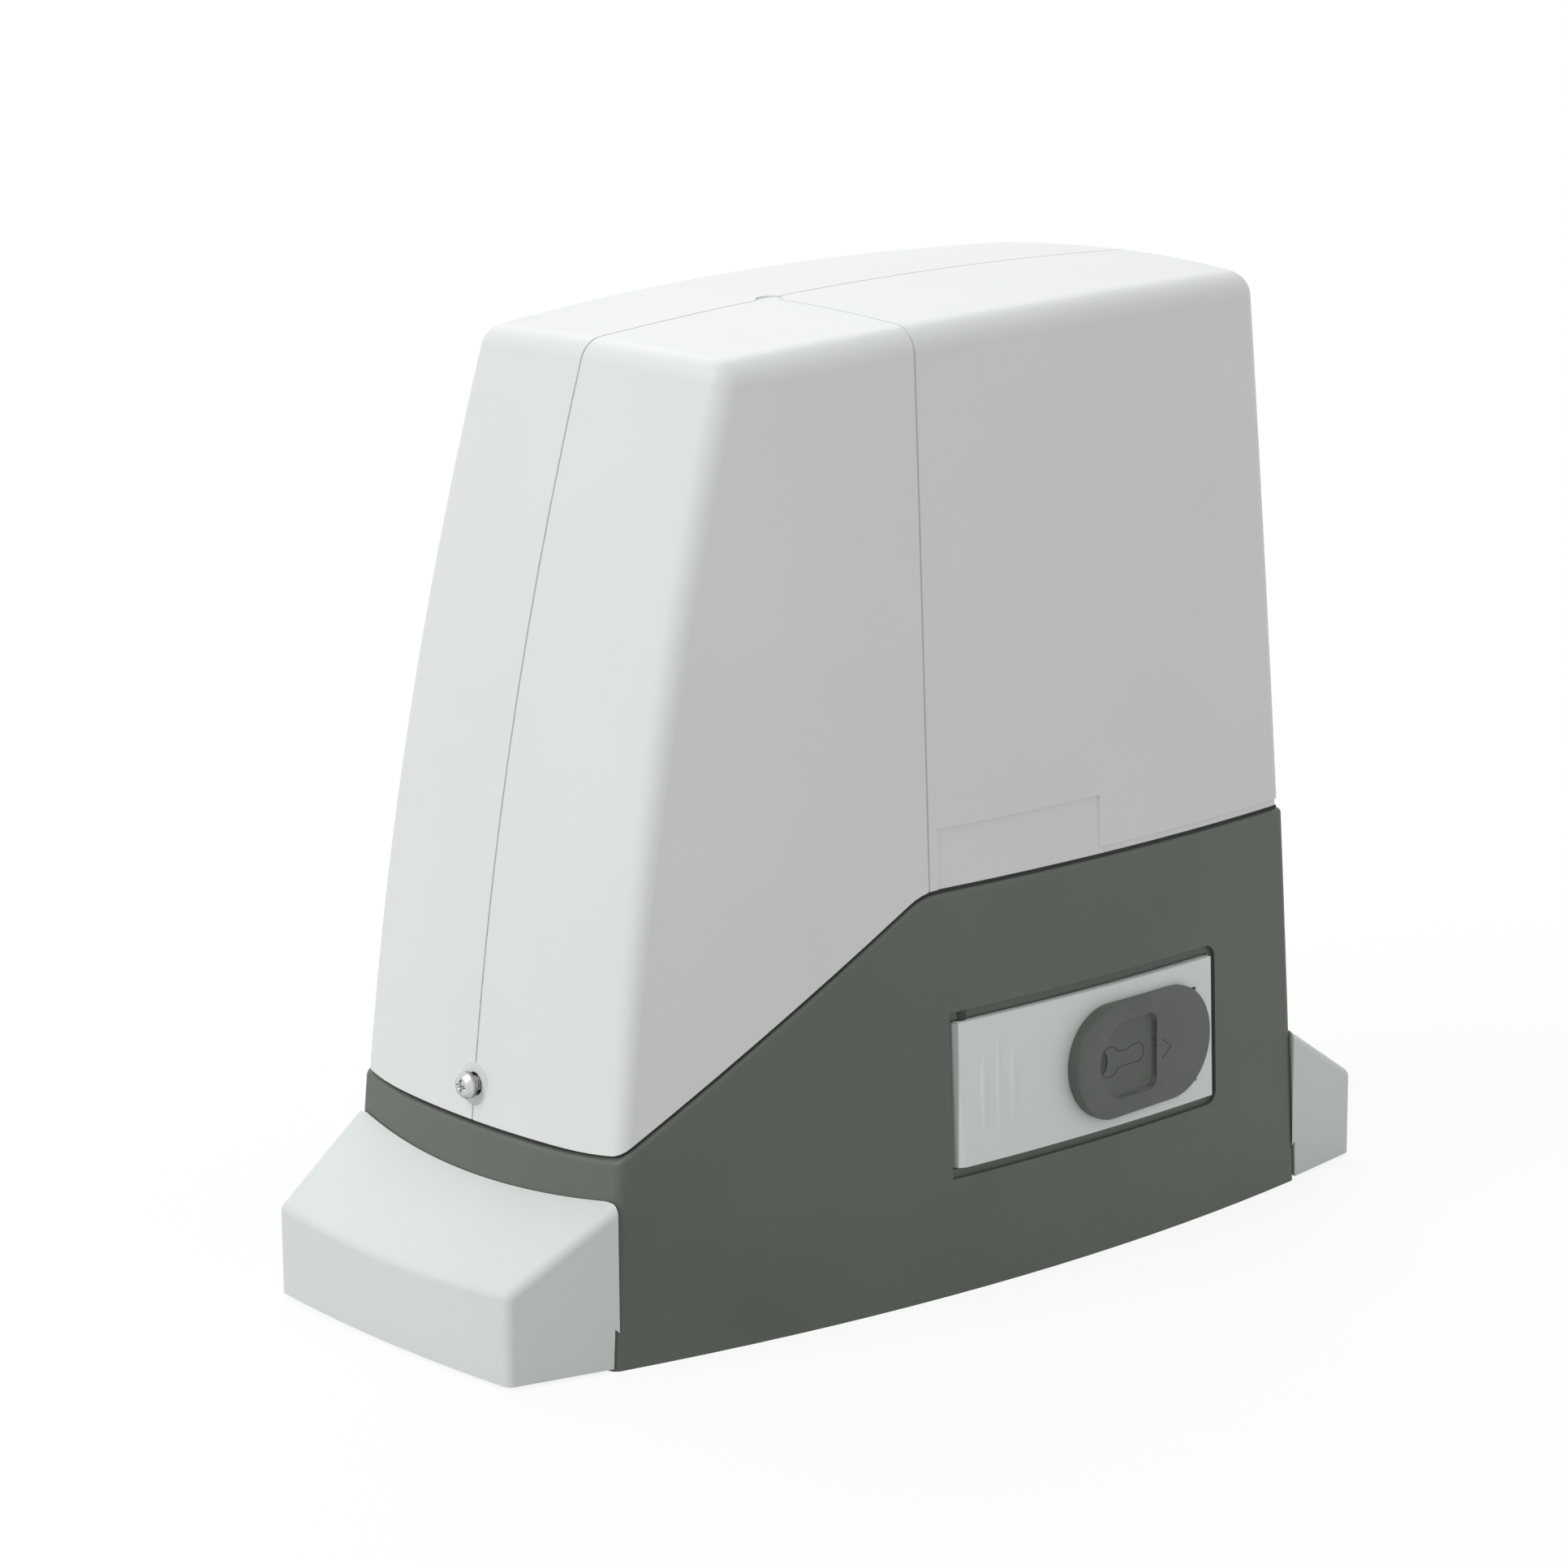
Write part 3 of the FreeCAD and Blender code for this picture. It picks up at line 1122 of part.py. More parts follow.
def output_shaft():
    rear_seat = "rear_boss_end-seal_wide-1-rear_bearing_wide"
    profile = [("0", "-shaft_front"), ("shaft_radius-0.8", "-shaft_front"),
               ("shaft_radius", "-shaft_front+0.8"), ("shaft_radius", "hub_rear"),
               ("shaft_collar", "hub_rear"), ("shaft_collar", rear_seat),
               ("shaft_radius", rear_seat), ("shaft_radius", "shaft_rear-0.8"),
               ("shaft_radius-0.8", "shaft_rear"), ("0", "shaft_rear")]
    shaft = turned(profile, ("0", "0", "shaft_height"), "Y")
    bore = rod("clutch_radius+running", "-shaft_front-1", "hub_rear", SHAFT, "Y")
    slot = box(("-shaft_collar", "-clutch_pin_deep-clutch_travel-clutch_pin-slip",
                "shaft_height-clutch_pin-slip"),
               ("shaft_collar", "-clutch_pin_deep+clutch_pin+slip", "shaft_height+clutch_pin+slip"))
    keyway = box(("-key_wide/2", "pinion_front+(pinion_width-key_long)/2", "shaft_height+shaft_radius-key_sink"),
                 ("key_wide/2", "pinion_front+(pinion_width+key_long)/2", "shaft_height+shaft_radius+1"))
    thread = rod("bolt_radius", "shaft_rear-bolt_long-1", "shaft_rear+1", SHAFT, "Y")
    return part("output_shaft", cut(shaft, bore, slot, keyway, thread))


def worm_wheel():
    s = SIZES
    lead = math.atan(s["gear_module"] / (2 * s["worm_pitch_radius"]))
    teeth = doc.addObject("Part::Feature", "wheel_teeth_ring")
    teeth.Shape = gear(s["wheel_teeth"], s["gear_module"], s["wheel_width"], lead)
    place(teeth, ("0", "wheel_mid", "shaft_height"), TURN["Y"])
    hub = rod("wheel_hub", "-hub_front", "hub_rear", SHAFT, "Y")
    bore = rod("shaft_radius+running/3", "-hub_front-1", "hub_rear+1", SHAFT, "Y")
    notch = box(("-wheel_hub-1", "-hub_front-1", "shaft_height-clutch_pin-slip"),
                ("wheel_hub+1", "-clutch_pin_deep+clutch_pin+slip", "shaft_height+clutch_pin+slip"))
    return part("worm_wheel", cut(fuse(teeth, hub), bore, notch))


def drive_pinion():
    s = SIZES
    teeth = doc.addObject("Part::Feature", "pinion_ring")
    teeth.Shape = gear(s["pinion_teeth"], s["pinion_module"], s["pinion_width"])
    place(teeth, ("0", "pinion_front+pinion_width/2", "shaft_height"), TURN["Y"])
    bore = rod("shaft_radius+running/3", "pinion_front-1", "pinion_front+pinion_width+1", SHAFT, "Y")
    keyway = box(("-key_wide/2", "pinion_front-1", "shaft_height"),
                 ("key_wide/2", "pinion_front+pinion_width+1", "shaft_height+shaft_radius+key_rise+0.1"))
    part("drive_pinion", cut(teeth, bore, keyway))
    key = box(("-key_wide/2", "pinion_front+(pinion_width-key_long)/2", "shaft_height+shaft_radius-key_sink"),
              ("key_wide/2", "pinion_front+(pinion_width+key_long)/2", "shaft_height+shaft_radius+key_rise"))
    part("pinion_key", key)
    face = "pinion_front+pinion_width"
    washer = cut(rod("washer_radius", face, face + "+washer_thick", SHAFT, "Y"),
                 rod("bolt_radius+running*3", face + "-1", face + "+washer_thick+1", SHAFT, "Y"))
    part("pinion_washer", washer)
    head = doc.addObject("Part::Prism", "bolt_head")
    head.Polygon = 6
    bind(head, Circumradius="bolt_across/2/cos(30)", Height="bolt_radius*1.35")
    place(head, ("0", face + "+washer_thick", "shaft_height"), TURN["Y"])
    shank = rod("bolt_radius-running/2", face + "+washer_thick-bolt_long", face + "+washer_thick", SHAFT, "Y")
    part("pinion_bolt", fuse(head, shank))


def worm_shaft():
    top = "stator_low+stator_long+bell_high"
    seat = "top_bearing_wide+bell_wall"
    profile = [("0", "foot_bearing_low+0.4"), ("worm_foot_radius", "foot_bearing_low+0.4"),
               ("worm_foot_radius", "foot_bearing_low+foot_bearing_wide+1"),
               ("worm_core", "foot_bearing_low+foot_bearing_wide+3"),
               ("worm_core", "stator_low+stator_long+winding_high/3"),
               ("worm_foot_radius", "stator_low+stator_long+winding_high/3+2"),
               ("worm_foot_radius", top + "-bell_wall"), ("0", top + "-bell_wall")]
    shaft = turned(profile, (WORM[0], WORM[1], "0"))
    body = doc.addObject("PartDesign::Body", "thread")
    sketch = new_sketch(body, "XZ_Plane")
    slope = "tan(20)"
    pitch_half = "(pi*gear_module/4-backlash/2)"
    outer = "(worm_pitch_radius+gear_module)"
    inner = "(worm_core-0.4)"
    wide = "(%s+(worm_pitch_radius-%s)*%s)" % (pitch_half, inner, slope)
    thin = "(%s-gear_module*%s)" % (pitch_half, slope)
    polygon(sketch, [(inner, "-" + wide), (outer, "-" + thin), (outer, thin), (inner, wide)])
    helix = body.newObject("PartDesign::AdditiveHelix", "helix")
    helix.Profile = sketch
    helix.ReferenceAxis = (sketch, ["V_Axis"])
    helix.Mode = 1
    bind(helix, Pitch="pi*gear_module", Turns="worm_turns")
    start = "shaft_height-pi*gear_module*(floor(worm_turns/2)+0.5)"
    place(body, (WORM[0], WORM[1], start))
    return part("worm_shaft", fuse(shaft, body))


def clutch():
    at = SHAFT
    pin_y = "-clutch_pin_deep"
    stem = rod("clutch_radius", "-clutch_nose", "-clutch_tail", at, "Y")
    cross = rod("clutch_pin+running/3", "-clutch_radius-1", "clutch_radius+1", (pin_y, "shaft_height"), "X")
    part("clutch_rod", cut(stem, cross))
    part("clutch_pin", rod("clutch_pin", "-clutch_pin_half", "clutch_pin_half", (pin_y, "shaft_height"), "X"))
    body = doc.addObject("PartDesign::Body", "coil")
    sketch = new_sketch(body, "XZ_Plane")
    half = "spring_wire/2"
    inner = "(spring_radius-%s)" % half
    outer = "(spring_radius+%s)" % half
    polygon(sketch, [(inner, "-" + half), (outer, "-" + half), (outer, half), (inner, half)])
    helix = body.newObject("PartDesign::AdditiveHelix", "helix")
    helix.Profile = sketch
    helix.ReferenceAxis = (sketch, ["V_Axis"])
    helix.Mode = 1
    room = "(hub_rear+clutch_tail-spring_wire-slip*2)"
    bind(helix, Pitch=room + "/spring_turns", Turns="spring_turns")
    place(body, ("0", "-clutch_tail+slip+spring_wire/2", "shaft_height"), TURN["Y"])
    part("clutch_spring", body)


# ---------------------------------------------------------------- motor

def motor():
    low = "motor_seat"
    stator_top = "stator_low+stator_long"
    bell_top = stator_top + "+bell_high"
    ties = [rod("tie_radius+running*4", low + "-1", bell_top + "+1", spot) for spot in tie_spots()]
    skirt = cut(rod("stator_outer", low, "stator_low", WORM),
                rod("stator_outer-bell_wall-3", low + "+bell_wall", "stator_low+1", WORM),
                rod("worm_core+4", low + "-1", "stator_low", WORM), *ties)
    part("motor_lower_bell", skirt)
    core = cut(rod("stator_outer", "stator_low", stator_top, WORM),
               rod("stator_inner", "stator_low-1", stator_top + "+1", WORM), *ties)
    part("stator_core", core)
    rings = []
    for start, end in (("stator_low-winding_high+bell_wall/4", "stator_low"),
                       (stator_top, stator_top + "+winding_high")):
        rings.append(cut(rod("winding_outer", start, end, WORM),
                         rod("winding_inner", start + "-1", end + "+1", WORM)))
    part("stator_windings", group(*rings))
    cap = cut(rod("stator_outer", stator_top, bell_top, WORM),
              rod("stator_outer-bell_wall-3", stator_top + "-1", bell_top + "-bell_wall", WORM), *ties)
    seat = cut(rod("top_bearing_outer+bell_wall", bell_top + "-bell_wall-top_bearing_wide",
                   bell_top, WORM),
               rod("top_bearing_outer+running/2", stator_top, bell_top + "-bell_wall", WORM))
    part("motor_upper_bell", fuse(cap, seat))
    rotor = cut(rod("stator_inner-air_gap", "stator_low-2", stator_top + "+2", WORM),
                rod("worm_core+running/3", low, bell_top, WORM))
    part("rotor_core", rotor)
    bolts = [fuse(rod("tie_radius", low + "-motor_flange+1", bell_top, spot),
                  rod("tie_head", bell_top, bell_top + "+tie_radius*1.5", spot)) for spot in tie_spots()]
    part("motor_tie_bolts", group(*bolts))


# ---------------------------------------------------------------- control unit

def control_unit():
    back = "-bracket_along"
    face = "-bracket_along-bracket_thick"
    board = face + "-board_stand"
    plate = box((face, "-bracket_half", "floor_thick"), (back, "bracket_half", "bracket_high"))
    foot = box((face + "-bracket_foot", "-bracket_half", "floor_thick"),
               (face, "bracket_half", "floor_thick+bracket_thick"))
    spots = [(y, z) for y in ("-board_half+board_screw_inset", "board_half-board_screw_inset")
             for z in ("board_low+board_screw_inset", "board_high-board_screw_inset")]
    stands = [rod("board_screw_head+0.6", board, face, spot, "X") for spot in spots]
    holes = [rod("board_screw+running/2", board + "-1", back + "+1", spot, "X") for spot in spots]
    part("control_bracket", cut(fuse(plate, foot, *stands), *holes))
    panel = box((board + "-board_thick", "-board_half", "board_low"), (board, "board_half", "board_high"))
    holes = [rod("board_screw+running*3", board + "-3", board + "+1", spot, "X") for spot in spots]
    part("control_board", cut(panel, *holes))
    skin = board + "-board_thick"
    screws = [fuse(rod("board_screw", skin, face + "+bracket_thick/2", spot, "X"),
                   rod("board_screw_head", skin + "-2", skin, spot, "X")) for spot in spots]
    part("board_screws", group(*screws))
    blocks = [box((skin + "-11", "%g" % y, "board_low+1"), (skin, "%g" % (y + 19), "board_low+11"))
              for y in (-31, -9.5, 12)]
    part("terminal_blocks", group(*blocks))
    relays = [box((skin + "-16", "%g" % y, "board_low+45"), (skin, "%g" % (y + 13), "board_low+74"))
              for y in (2, 18)]
    part("relays", group(*relays))
    coil = box((skin + "-30", "-36", "board_low+58"), (skin, "-4", "board_low+98"))
    part("transformer", coil)
    fuse_base = box((skin + "-7", "-36", "board_low+20"), (skin, "-12", "board_low+30"))
    part("fuse_holder", fuse_base)
    can = ("-capacitor_along", "0")
    part("capacitor", rod("capacitor_radius", "capacitor_low", "capacitor_low+capacitor_long", can))
    clip = cut(fuse(rod("capacitor_radius+1.6", "capacitor_low+24", "capacitor_low+38", can),
                    box((back, "-8", "capacitor_low+24"), ("-capacitor_along", "8", "capacitor_low+38"))),
               rod("capacitor_radius+running/2", "capacitor_low+20", "capacitor_low+42", can))
    part("capacitor_clip", clip)
    part("limit_sensor", box(("-sensor_half", "sensor_front", "sensor_shelf+3"),
                             ("sensor_half", "sensor_front+sensor_deep", "sensor_shelf+3+sensor_high")))


base_casing()
hood()
hood_seal()
hood_screws()
hood_nuts()
foot_cover("foot_cover_left", -1)
foot_cover("foot_cover_right", 1)
levelling_screws()
cable_grommet()
hinge_pin()
release_lever()
lock_cover()
lock()
release_button()
gearbox_housing()
gearbox_cover()
gearbox_cover_screws()
gearbox_bolts()
bearings()
output_shaft()
worm_wheel()
drive_pinion()
worm_shaft()
clutch()
motor()
control_unit()

doc.recompute()
for thing in doc.Objects:
    if any(word in thing.State for word in ("Invalid", "Error")):
        raise RuntimeError("%s (%s) is %s" % (thing.Name, thing.Label, thing.State))
for name, thing in PARTS.items():
    shape = thing.Shape
    if shape.isNull() or not shape.isValid() or not shape.Solids:
        raise RuntimeError("%s has no valid solid" % name)

os.makedirs("parts", exist_ok=True)
for name, thing in PARTS.items():
    thing.Shape.exportStep("parts/%s.step" % name)
print("%d parts written" % len(PARTS))
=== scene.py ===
# %% [markdown]
# # A sliding gate motor
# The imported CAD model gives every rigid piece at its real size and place. This notebook gives each
# piece its finish, adds the small things that are easier to make in Blender, and lights the whole.
# Everything is in metres: X runs along the gate, Y across it (the gate is behind, at +Y), Z is up.

# %% Load the frame
import math
import bmesh
import bpy
from mathutils import Matrix, Vector


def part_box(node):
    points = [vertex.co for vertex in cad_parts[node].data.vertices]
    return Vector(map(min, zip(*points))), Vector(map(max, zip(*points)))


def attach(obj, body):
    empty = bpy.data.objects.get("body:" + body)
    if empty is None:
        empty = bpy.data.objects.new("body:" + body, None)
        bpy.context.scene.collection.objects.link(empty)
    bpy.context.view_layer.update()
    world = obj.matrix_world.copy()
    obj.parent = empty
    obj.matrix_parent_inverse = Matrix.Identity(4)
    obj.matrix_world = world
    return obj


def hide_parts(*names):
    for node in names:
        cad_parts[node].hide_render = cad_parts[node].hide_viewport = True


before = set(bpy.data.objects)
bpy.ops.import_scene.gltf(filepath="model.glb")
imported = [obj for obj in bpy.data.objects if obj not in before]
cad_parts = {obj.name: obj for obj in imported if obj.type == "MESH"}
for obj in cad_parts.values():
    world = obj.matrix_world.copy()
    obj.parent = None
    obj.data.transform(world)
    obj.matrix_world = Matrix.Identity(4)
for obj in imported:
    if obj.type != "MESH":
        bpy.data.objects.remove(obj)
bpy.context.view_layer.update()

# %% [markdown]
# ## Finishes
# A moulded or painted surface is never one flat colour. One way would be a picture wrapped round
# the piece; a node material needs no picture and stays sharp at any distance. Each finish below
# starts from a base colour, lets it drift a little over the surface, and adds the grain that the
# mould or the tool left. It all reads Object coordinates, so it stays put when a piece moves.


# %% A helper that makes one finish
drift_scale = 18.0
rough_spread = 0.06


def finish(name, colour, rough, grain=0.0, grain_size=0.001, drift=0.03, metal=0.0, along=None):
    """colour is linear RGB; grain is the bump's height in metres; along stretches it on an axis."""
    material = bpy.data.materials.new(name)
    material.use_nodes = True
    nodes, links = material.node_tree.nodes, material.node_tree.links
    shader = nodes["Principled BSDF"]
    shader.inputs["Metallic"].default_value = metal
    where = nodes.new("ShaderNodeTexCoord")
    stretch = nodes.new("ShaderNodeMapping")
    stretch.inputs["Scale"].default_value = along or (1, 1, 1)
    links.new(where.outputs["Object"], stretch.inputs["Vector"])

    cloud = nodes.new("ShaderNodeTexNoise")
    cloud.inputs["Scale"].default_value = drift_scale
    cloud.inputs["Detail"].default_value = 3.0
    links.new(where.outputs["Object"], cloud.inputs["Vector"])
    tint = nodes.new("ShaderNodeValToRGB")
    tint.name = "tint"
    tint.color_ramp.elements[0].position = 0.3
    tint.color_ramp.elements[1].position = 0.7
    tint.color_ramp.elements[0].color = [c * (1 - drift) for c in colour] + [1]
    tint.color_ramp.elements[1].color = [min(c * (1 + drift), 1) for c in colour] + [1]
    links.new(cloud.outputs["Fac"], tint.inputs["Fac"])
    links.new(tint.outputs["Color"], shader.inputs["Base Color"])

    fine = nodes.new("ShaderNodeTexNoise")
    fine.name = "grain"
    fine.inputs["Scale"].default_value = 1.0 / grain_size
    fine.inputs["Detail"].default_value = 2.0
    links.new(stretch.outputs["Vector"], fine.inputs["Vector"])
    spread = nodes.new("ShaderNodeMapRange")
    spread.inputs["To Min"].default_value = max(rough - rough_spread, 0.05)
    spread.inputs["To Max"].default_value = min(rough + rough_spread, 1.0)
    links.new(fine.outputs["Fac"], spread.inputs["Value"])
    links.new(spread.outputs["Result"], shader.inputs["Roughness"])
    if grain:
        bump = nodes.new("ShaderNodeBump")
        bump.inputs["Distance"].default_value = grain
        bump.inputs["Strength"].default_value = 1.0
        links.new(fine.outputs["Fac"], bump.inputs["Height"])
        links.new(bump.outputs["Normal"], shader.inputs["Normal"])
    return material


print("finish helper ready")

# %% [markdown]
# ## The outside: pale covers, dark casing
# The hood, foot covers and lever are light grey mouldings with a satin skin; three batches, so
# three tones close together. The casing is dark grey-green with a coarser spark-eroded grain. The
# lock cover is dark too, with a finger dish in its thick end. Its thin end is painted lighter and
# bluer, meeting the rest in a soft border along X: painted light, for the light on that face,
# which slopes another way. The second helper paints that border, and also the painted shade of
# the lever's rounded hinge end, a darker strip.

# %% Finishes of the outside
hood_grey = finish("hood_grey", (0.735, 0.765, 0.750), 0.46, 0.00001, 0.0011, 0.012)
cover_grey = finish("cover_grey", (0.665, 0.708, 0.690), 0.48, 0.00001, 0.0011, 0.012)
# The lever's base colour is painted shade, kept only on its rounded hinge end; its own light grey is
# painted in below.
lever_grey_and_painted_end_shade = finish("lever_grey_and_painted_end_shade", (0.370, 0.410, 0.395), 0.44, 0.00001, 0.0009, 0.012)
casing_dark = finish("casing_dark", (0.105, 0.122, 0.101), 0.52, 0.00006, 0.0010, 0.06)
lock_dark_and_painted_lit_end = finish("lock_dark_and_painted_lit_end", (0.087, 0.101, 0.085), 0.46, 0.00002, 0.0008, 0.03)
# Near-black painted shade, for the shade in the lock cover's grooves and in the gap by the lever's
# hinge pin.
painted_groove_shade = finish("painted_groove_shade", (0.030, 0.033, 0.031), 0.60, 0.00001, 0.0010, 0.05)


def second_tone(material, colour, start, end):
    """Paints light and shade into the finish: another colour from x = start to x = end, in metres.
    """
    nodes, links = material.node_tree.nodes, material.node_tree.links
    where = nodes.new("ShaderNodeTexCoord")
    split = nodes.new("ShaderNodeSeparateXYZ")
    links.new(where.outputs["Object"], split.inputs["Vector"])
    share = nodes.new("ShaderNodeMapRange")
    share.interpolation_type = "SMOOTHSTEP"
    share.inputs["From Min"].default_value = start
    share.inputs["From Max"].default_value = end
    links.new(split.outputs["X"], share.inputs["Value"])
    mix = nodes.new("ShaderNodeMix")
    mix.data_type = "RGBA"
    mix.inputs["B"].default_value = (*colour, 1)
    links.new(share.outputs["Result"], mix.inputs["Factor"])
    links.new(nodes["tint"].outputs["Color"], mix.inputs["A"])
    links.new(mix.outputs["Result"], nodes["Principled BSDF"].inputs["Base Color"])


# Painted light: from x = 57.5 mm the lock cover's thin end turns lighter and bluer, for its
# differently sloping face.
second_tone(lock_dark_and_painted_lit_end, (0.103, 0.115, 0.113), 0.0575, 0.0620)
# Painted shade: the lever's rounded hinge end, left of x = -16.5 mm, keeps the darker base colour.
second_tone(lever_grey_and_painted_end_shade, (0.760, 0.825, 0.800), -0.0165, -0.0160)
print("outside finishes made")

# %% [markdown]
# ## The inside: metals, board and insulation
# Under the hood are plated screws, cast alloy, bronze, ground steel and the plastics of the
# control unit. A metal's colour is its reflection, so these set Metallic to 1 and differ mostly in
# roughness and in the direction of their grain: turned steel has fine rings across its axis.

# %% Finishes of the inside
zinc = finish("zinc_plate", (0.60, 0.61, 0.62), 0.26, 0.00001, 0.0012, 0.06, 1.0)
steel = finish("turned_steel", (0.48, 0.49, 0.50), 0.30, 0.00001, 0.0006, 0.04, 1.0, (1, 14, 1))
tooth_steel = finish("hobbed_steel", (0.52, 0.52, 0.53), 0.34, 0.00002, 0.0008, 0.05, 1.0,
                     (1, 9, 1))
bronze = finish("wheel_bronze", (0.56, 0.37, 0.14), 0.32, 0.00001, 0.0008, 0.06, 1.0)
brass = finish("lock_brass", (0.62, 0.48, 0.20), 0.28, 0.00001, 0.0008, 0.05, 1.0)
cast = finish("cast_alloy", (0.42, 0.43, 0.44), 0.50, 0.00007, 0.0014, 0.07, 1.0)
copper = finish("enamelled_copper", (0.45, 0.16, 0.06), 0.28, 0.00008, 0.0016, 0.10, 1.0)
rubber = finish("black_rubber", (0.030, 0.030, 0.032), 0.72, 0.00004, 0.0010, 0.08)
solder_mask = finish("solder_mask", (0.015, 0.105, 0.045), 0.30, 0.00003, 0.0030, 0.20)
terminal_green = finish("terminal_green", (0.030, 0.230, 0.070), 0.40, 0.00001, 0.0010, 0.03)
black = finish("moulded_black", (0.022, 0.022, 0.024), 0.42, 0.00002, 0.0009, 0.06)
white = finish("moulded_white", (0.70, 0.71, 0.70), 0.38, 0.00001, 0.0012, 0.02)
relay_blue = finish("relay_blue", (0.020, 0.090, 0.260), 0.30, 0.00001, 0.0012, 0.03)
signal_red = finish("signal_red", (0.560, 0.030, 0.020), 0.18, 0.0, 0.0010, 0.02)
tape_yellow = finish("coil_tape", (0.700, 0.440, 0.050), 0.34, 0.00004, 0.0060, 0.05, 0.0,
                     (1, 1, 6))
can_sleeve = finish("can_sleeve", (0.020, 0.035, 0.090), 0.35, 0.0, 0.0010, 0.03)
resistor_body = finish("resistor_body", (0.500, 0.360, 0.200), 0.35, 0.00001, 0.0010, 0.04)
fuse_glass = finish("fuse_glass", (0.62, 0.68, 0.70), 0.10, 0.0, 0.0010, 0.02)
print("inside finishes made")

# %% [markdown]
# ### Stacked sheets and rolling bearings
# The stator and rotor are stacks of half-millimetre sheets, so their sides show fine level lines:
# a wave texture that only changes with height. A bearing's face is a set of rings round its axis:
# outer race, dark seal, inner race. The distance from the axis picks the ring.


# %% Sheet lines and bearing rings
race_colour, seal_colour = (0.55, 0.56, 0.57), (0.03, 0.03, 0.03)
seal_start, seal_end = 0.26, 0.76
bore_share = 0.5


def sheet_lines(material, thick, high):
    """Adds level grooves of this spacing and height to the finish."""
    nodes, links = material.node_tree.nodes, material.node_tree.links
    where = nodes.new("ShaderNodeTexCoord")
    wave = nodes.new("ShaderNodeTexWave")
    wave.bands_direction = "Z"
    wave.inputs["Scale"].default_value = math.pi / 10 / thick
    links.new(where.outputs["Object"], wave.inputs["Vector"])
    bump = nodes.new("ShaderNodeBump")
    bump.inputs["Distance"].default_value = high
    links.new(wave.outputs["Fac"], bump.inputs["Height"])
    links.new(bump.outputs["Normal"], nodes["Principled BSDF"].inputs["Normal"])


def bearing_rings(name, axis, centre, inner, outer):
    """A bearing's finish: bright races and a dark seal between them, as rings round its axis."""
    material = finish(name, race_colour, 0.20, 0.0, 0.0010, 0.03, 1.0)
    nodes, links = material.node_tree.nodes, material.node_tree.links
    where = nodes.new("ShaderNodeTexCoord")
    shift = nodes.new("ShaderNodeMapping")
    shift.inputs["Location"].default_value = [-v for v in centre]
    links.new(where.outputs["Object"], shift.inputs["Vector"])
    flat = nodes.new("ShaderNodeVectorMath")
    flat.operation = "MULTIPLY"
    flat.inputs[1].default_value = (1, 0, 1) if axis == "Y" else (1, 1, 0)
    links.new(shift.outputs["Vector"], flat.inputs[0])
    away = nodes.new("ShaderNodeVectorMath")
    away.operation = "LENGTH"
    links.new(flat.outputs["Vector"], away.inputs[0])
    place = nodes.new("ShaderNodeMapRange")
    place.inputs["From Min"].default_value = inner
    place.inputs["From Max"].default_value = outer
    links.new(away.outputs["Value"], place.inputs["Value"])
    rings = nodes.new("ShaderNodeValToRGB")
    rings.color_ramp.interpolation = "CONSTANT"
    rings.color_ramp.elements[1].position = seal_end
    for race in rings.color_ramp.elements:
        race.color = (*race_colour, 1)
    rings.color_ramp.elements.new(seal_start).color = (*seal_colour, 1)
    links.new(place.outputs["Result"], rings.inputs["Fac"])
    links.new(rings.outputs["Color"], nodes["Principled BSDF"].inputs["Base Color"])
    return material


lamination = finish("laminated_steel", (0.20, 0.21, 0.22), 0.45, 0.0, 0.0040, 0.05, 1.0)
sheet_lines(lamination, 0.0005, 0.0001)


def ring_finish(node, axis):
    """The rings for one bearing node, from its own box."""
    low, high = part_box(node)
    centre = (low + high) / 2
    outer = (high.x - low.x) / 2
    return bearing_rings(node + "_rings", axis, centre, outer * bore_share, outer)


bearing_axes = {"rear_bearing": "Y", "front_bearing": "Y", "worm_foot_bearing": "Z",
                "worm_neck_bearing": "Z", "motor_top_bearing": "Z"}
print("bearings with rings:", len(bearing_axes))

# %% [markdown]
# ## Dress the CAD pieces
# Every node keeps its mesh and gets its finish through its material slots. A piece that is remade
# below in more detail is replaced there, and its CAD solid stays on for collision only.

# %% Give each node its finish
dress = {
    hood_grey: ["hood"],
    cover_grey: ["foot_cover_left", "foot_cover_right"],
    lever_grey_and_painted_end_shade: ["release_lever"],
    casing_dark: ["base_casing"],
    lock_dark_and_painted_lit_end: ["lock_cover"],
    # The lever's hinge pin is painted near black, as shade, so it reads as the dark gap above the
    # lever.
    painted_groove_shade: ["lever_hinge_pin"],
    zinc: ["hood_screws", "hood_screw_nuts", "levelling_screws", "lock_housing", "lock_cam",
           "gearbox_cover_screws", "gearbox_bolts", "motor_tie_bolts", "board_screws",
           "control_bracket", "pinion_washer", "pinion_bolt"],
    steel: ["output_shaft", "worm_shaft", "clutch_rod", "clutch_pin", "clutch_spring",
            "pinion_key"],
    tooth_steel: ["drive_pinion"],
    bronze: ["worm_wheel"],
    brass: ["lock_cylinder"],
    cast: ["gearbox_housing", "gearbox_cover", "motor_lower_bell", "motor_upper_bell"],
    lamination: ["stator_core", "rotor_core"],
    copper: ["stator_windings"],
    rubber: ["hood_seal", "cable_grommet", "shaft_seal"],
    solder_mask: ["control_board"],
    terminal_green: ["terminal_blocks"],
    black: ["transformer", "fuse_holder", "capacitor_clip", "limit_sensor", "release_button"],
    white: ["capacitor"],
    relay_blue: ["relays"],
}
for node, axis in bearing_axes.items():
    dress[ring_finish(node, axis)] = [node]
left_plain = set(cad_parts)
for material, names in dress.items():
    for name in names:
        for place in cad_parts[name].material_slots:
            place.material = material
        left_plain.discard(name)
print("nodes with no finish yet:", sorted(left_plain))

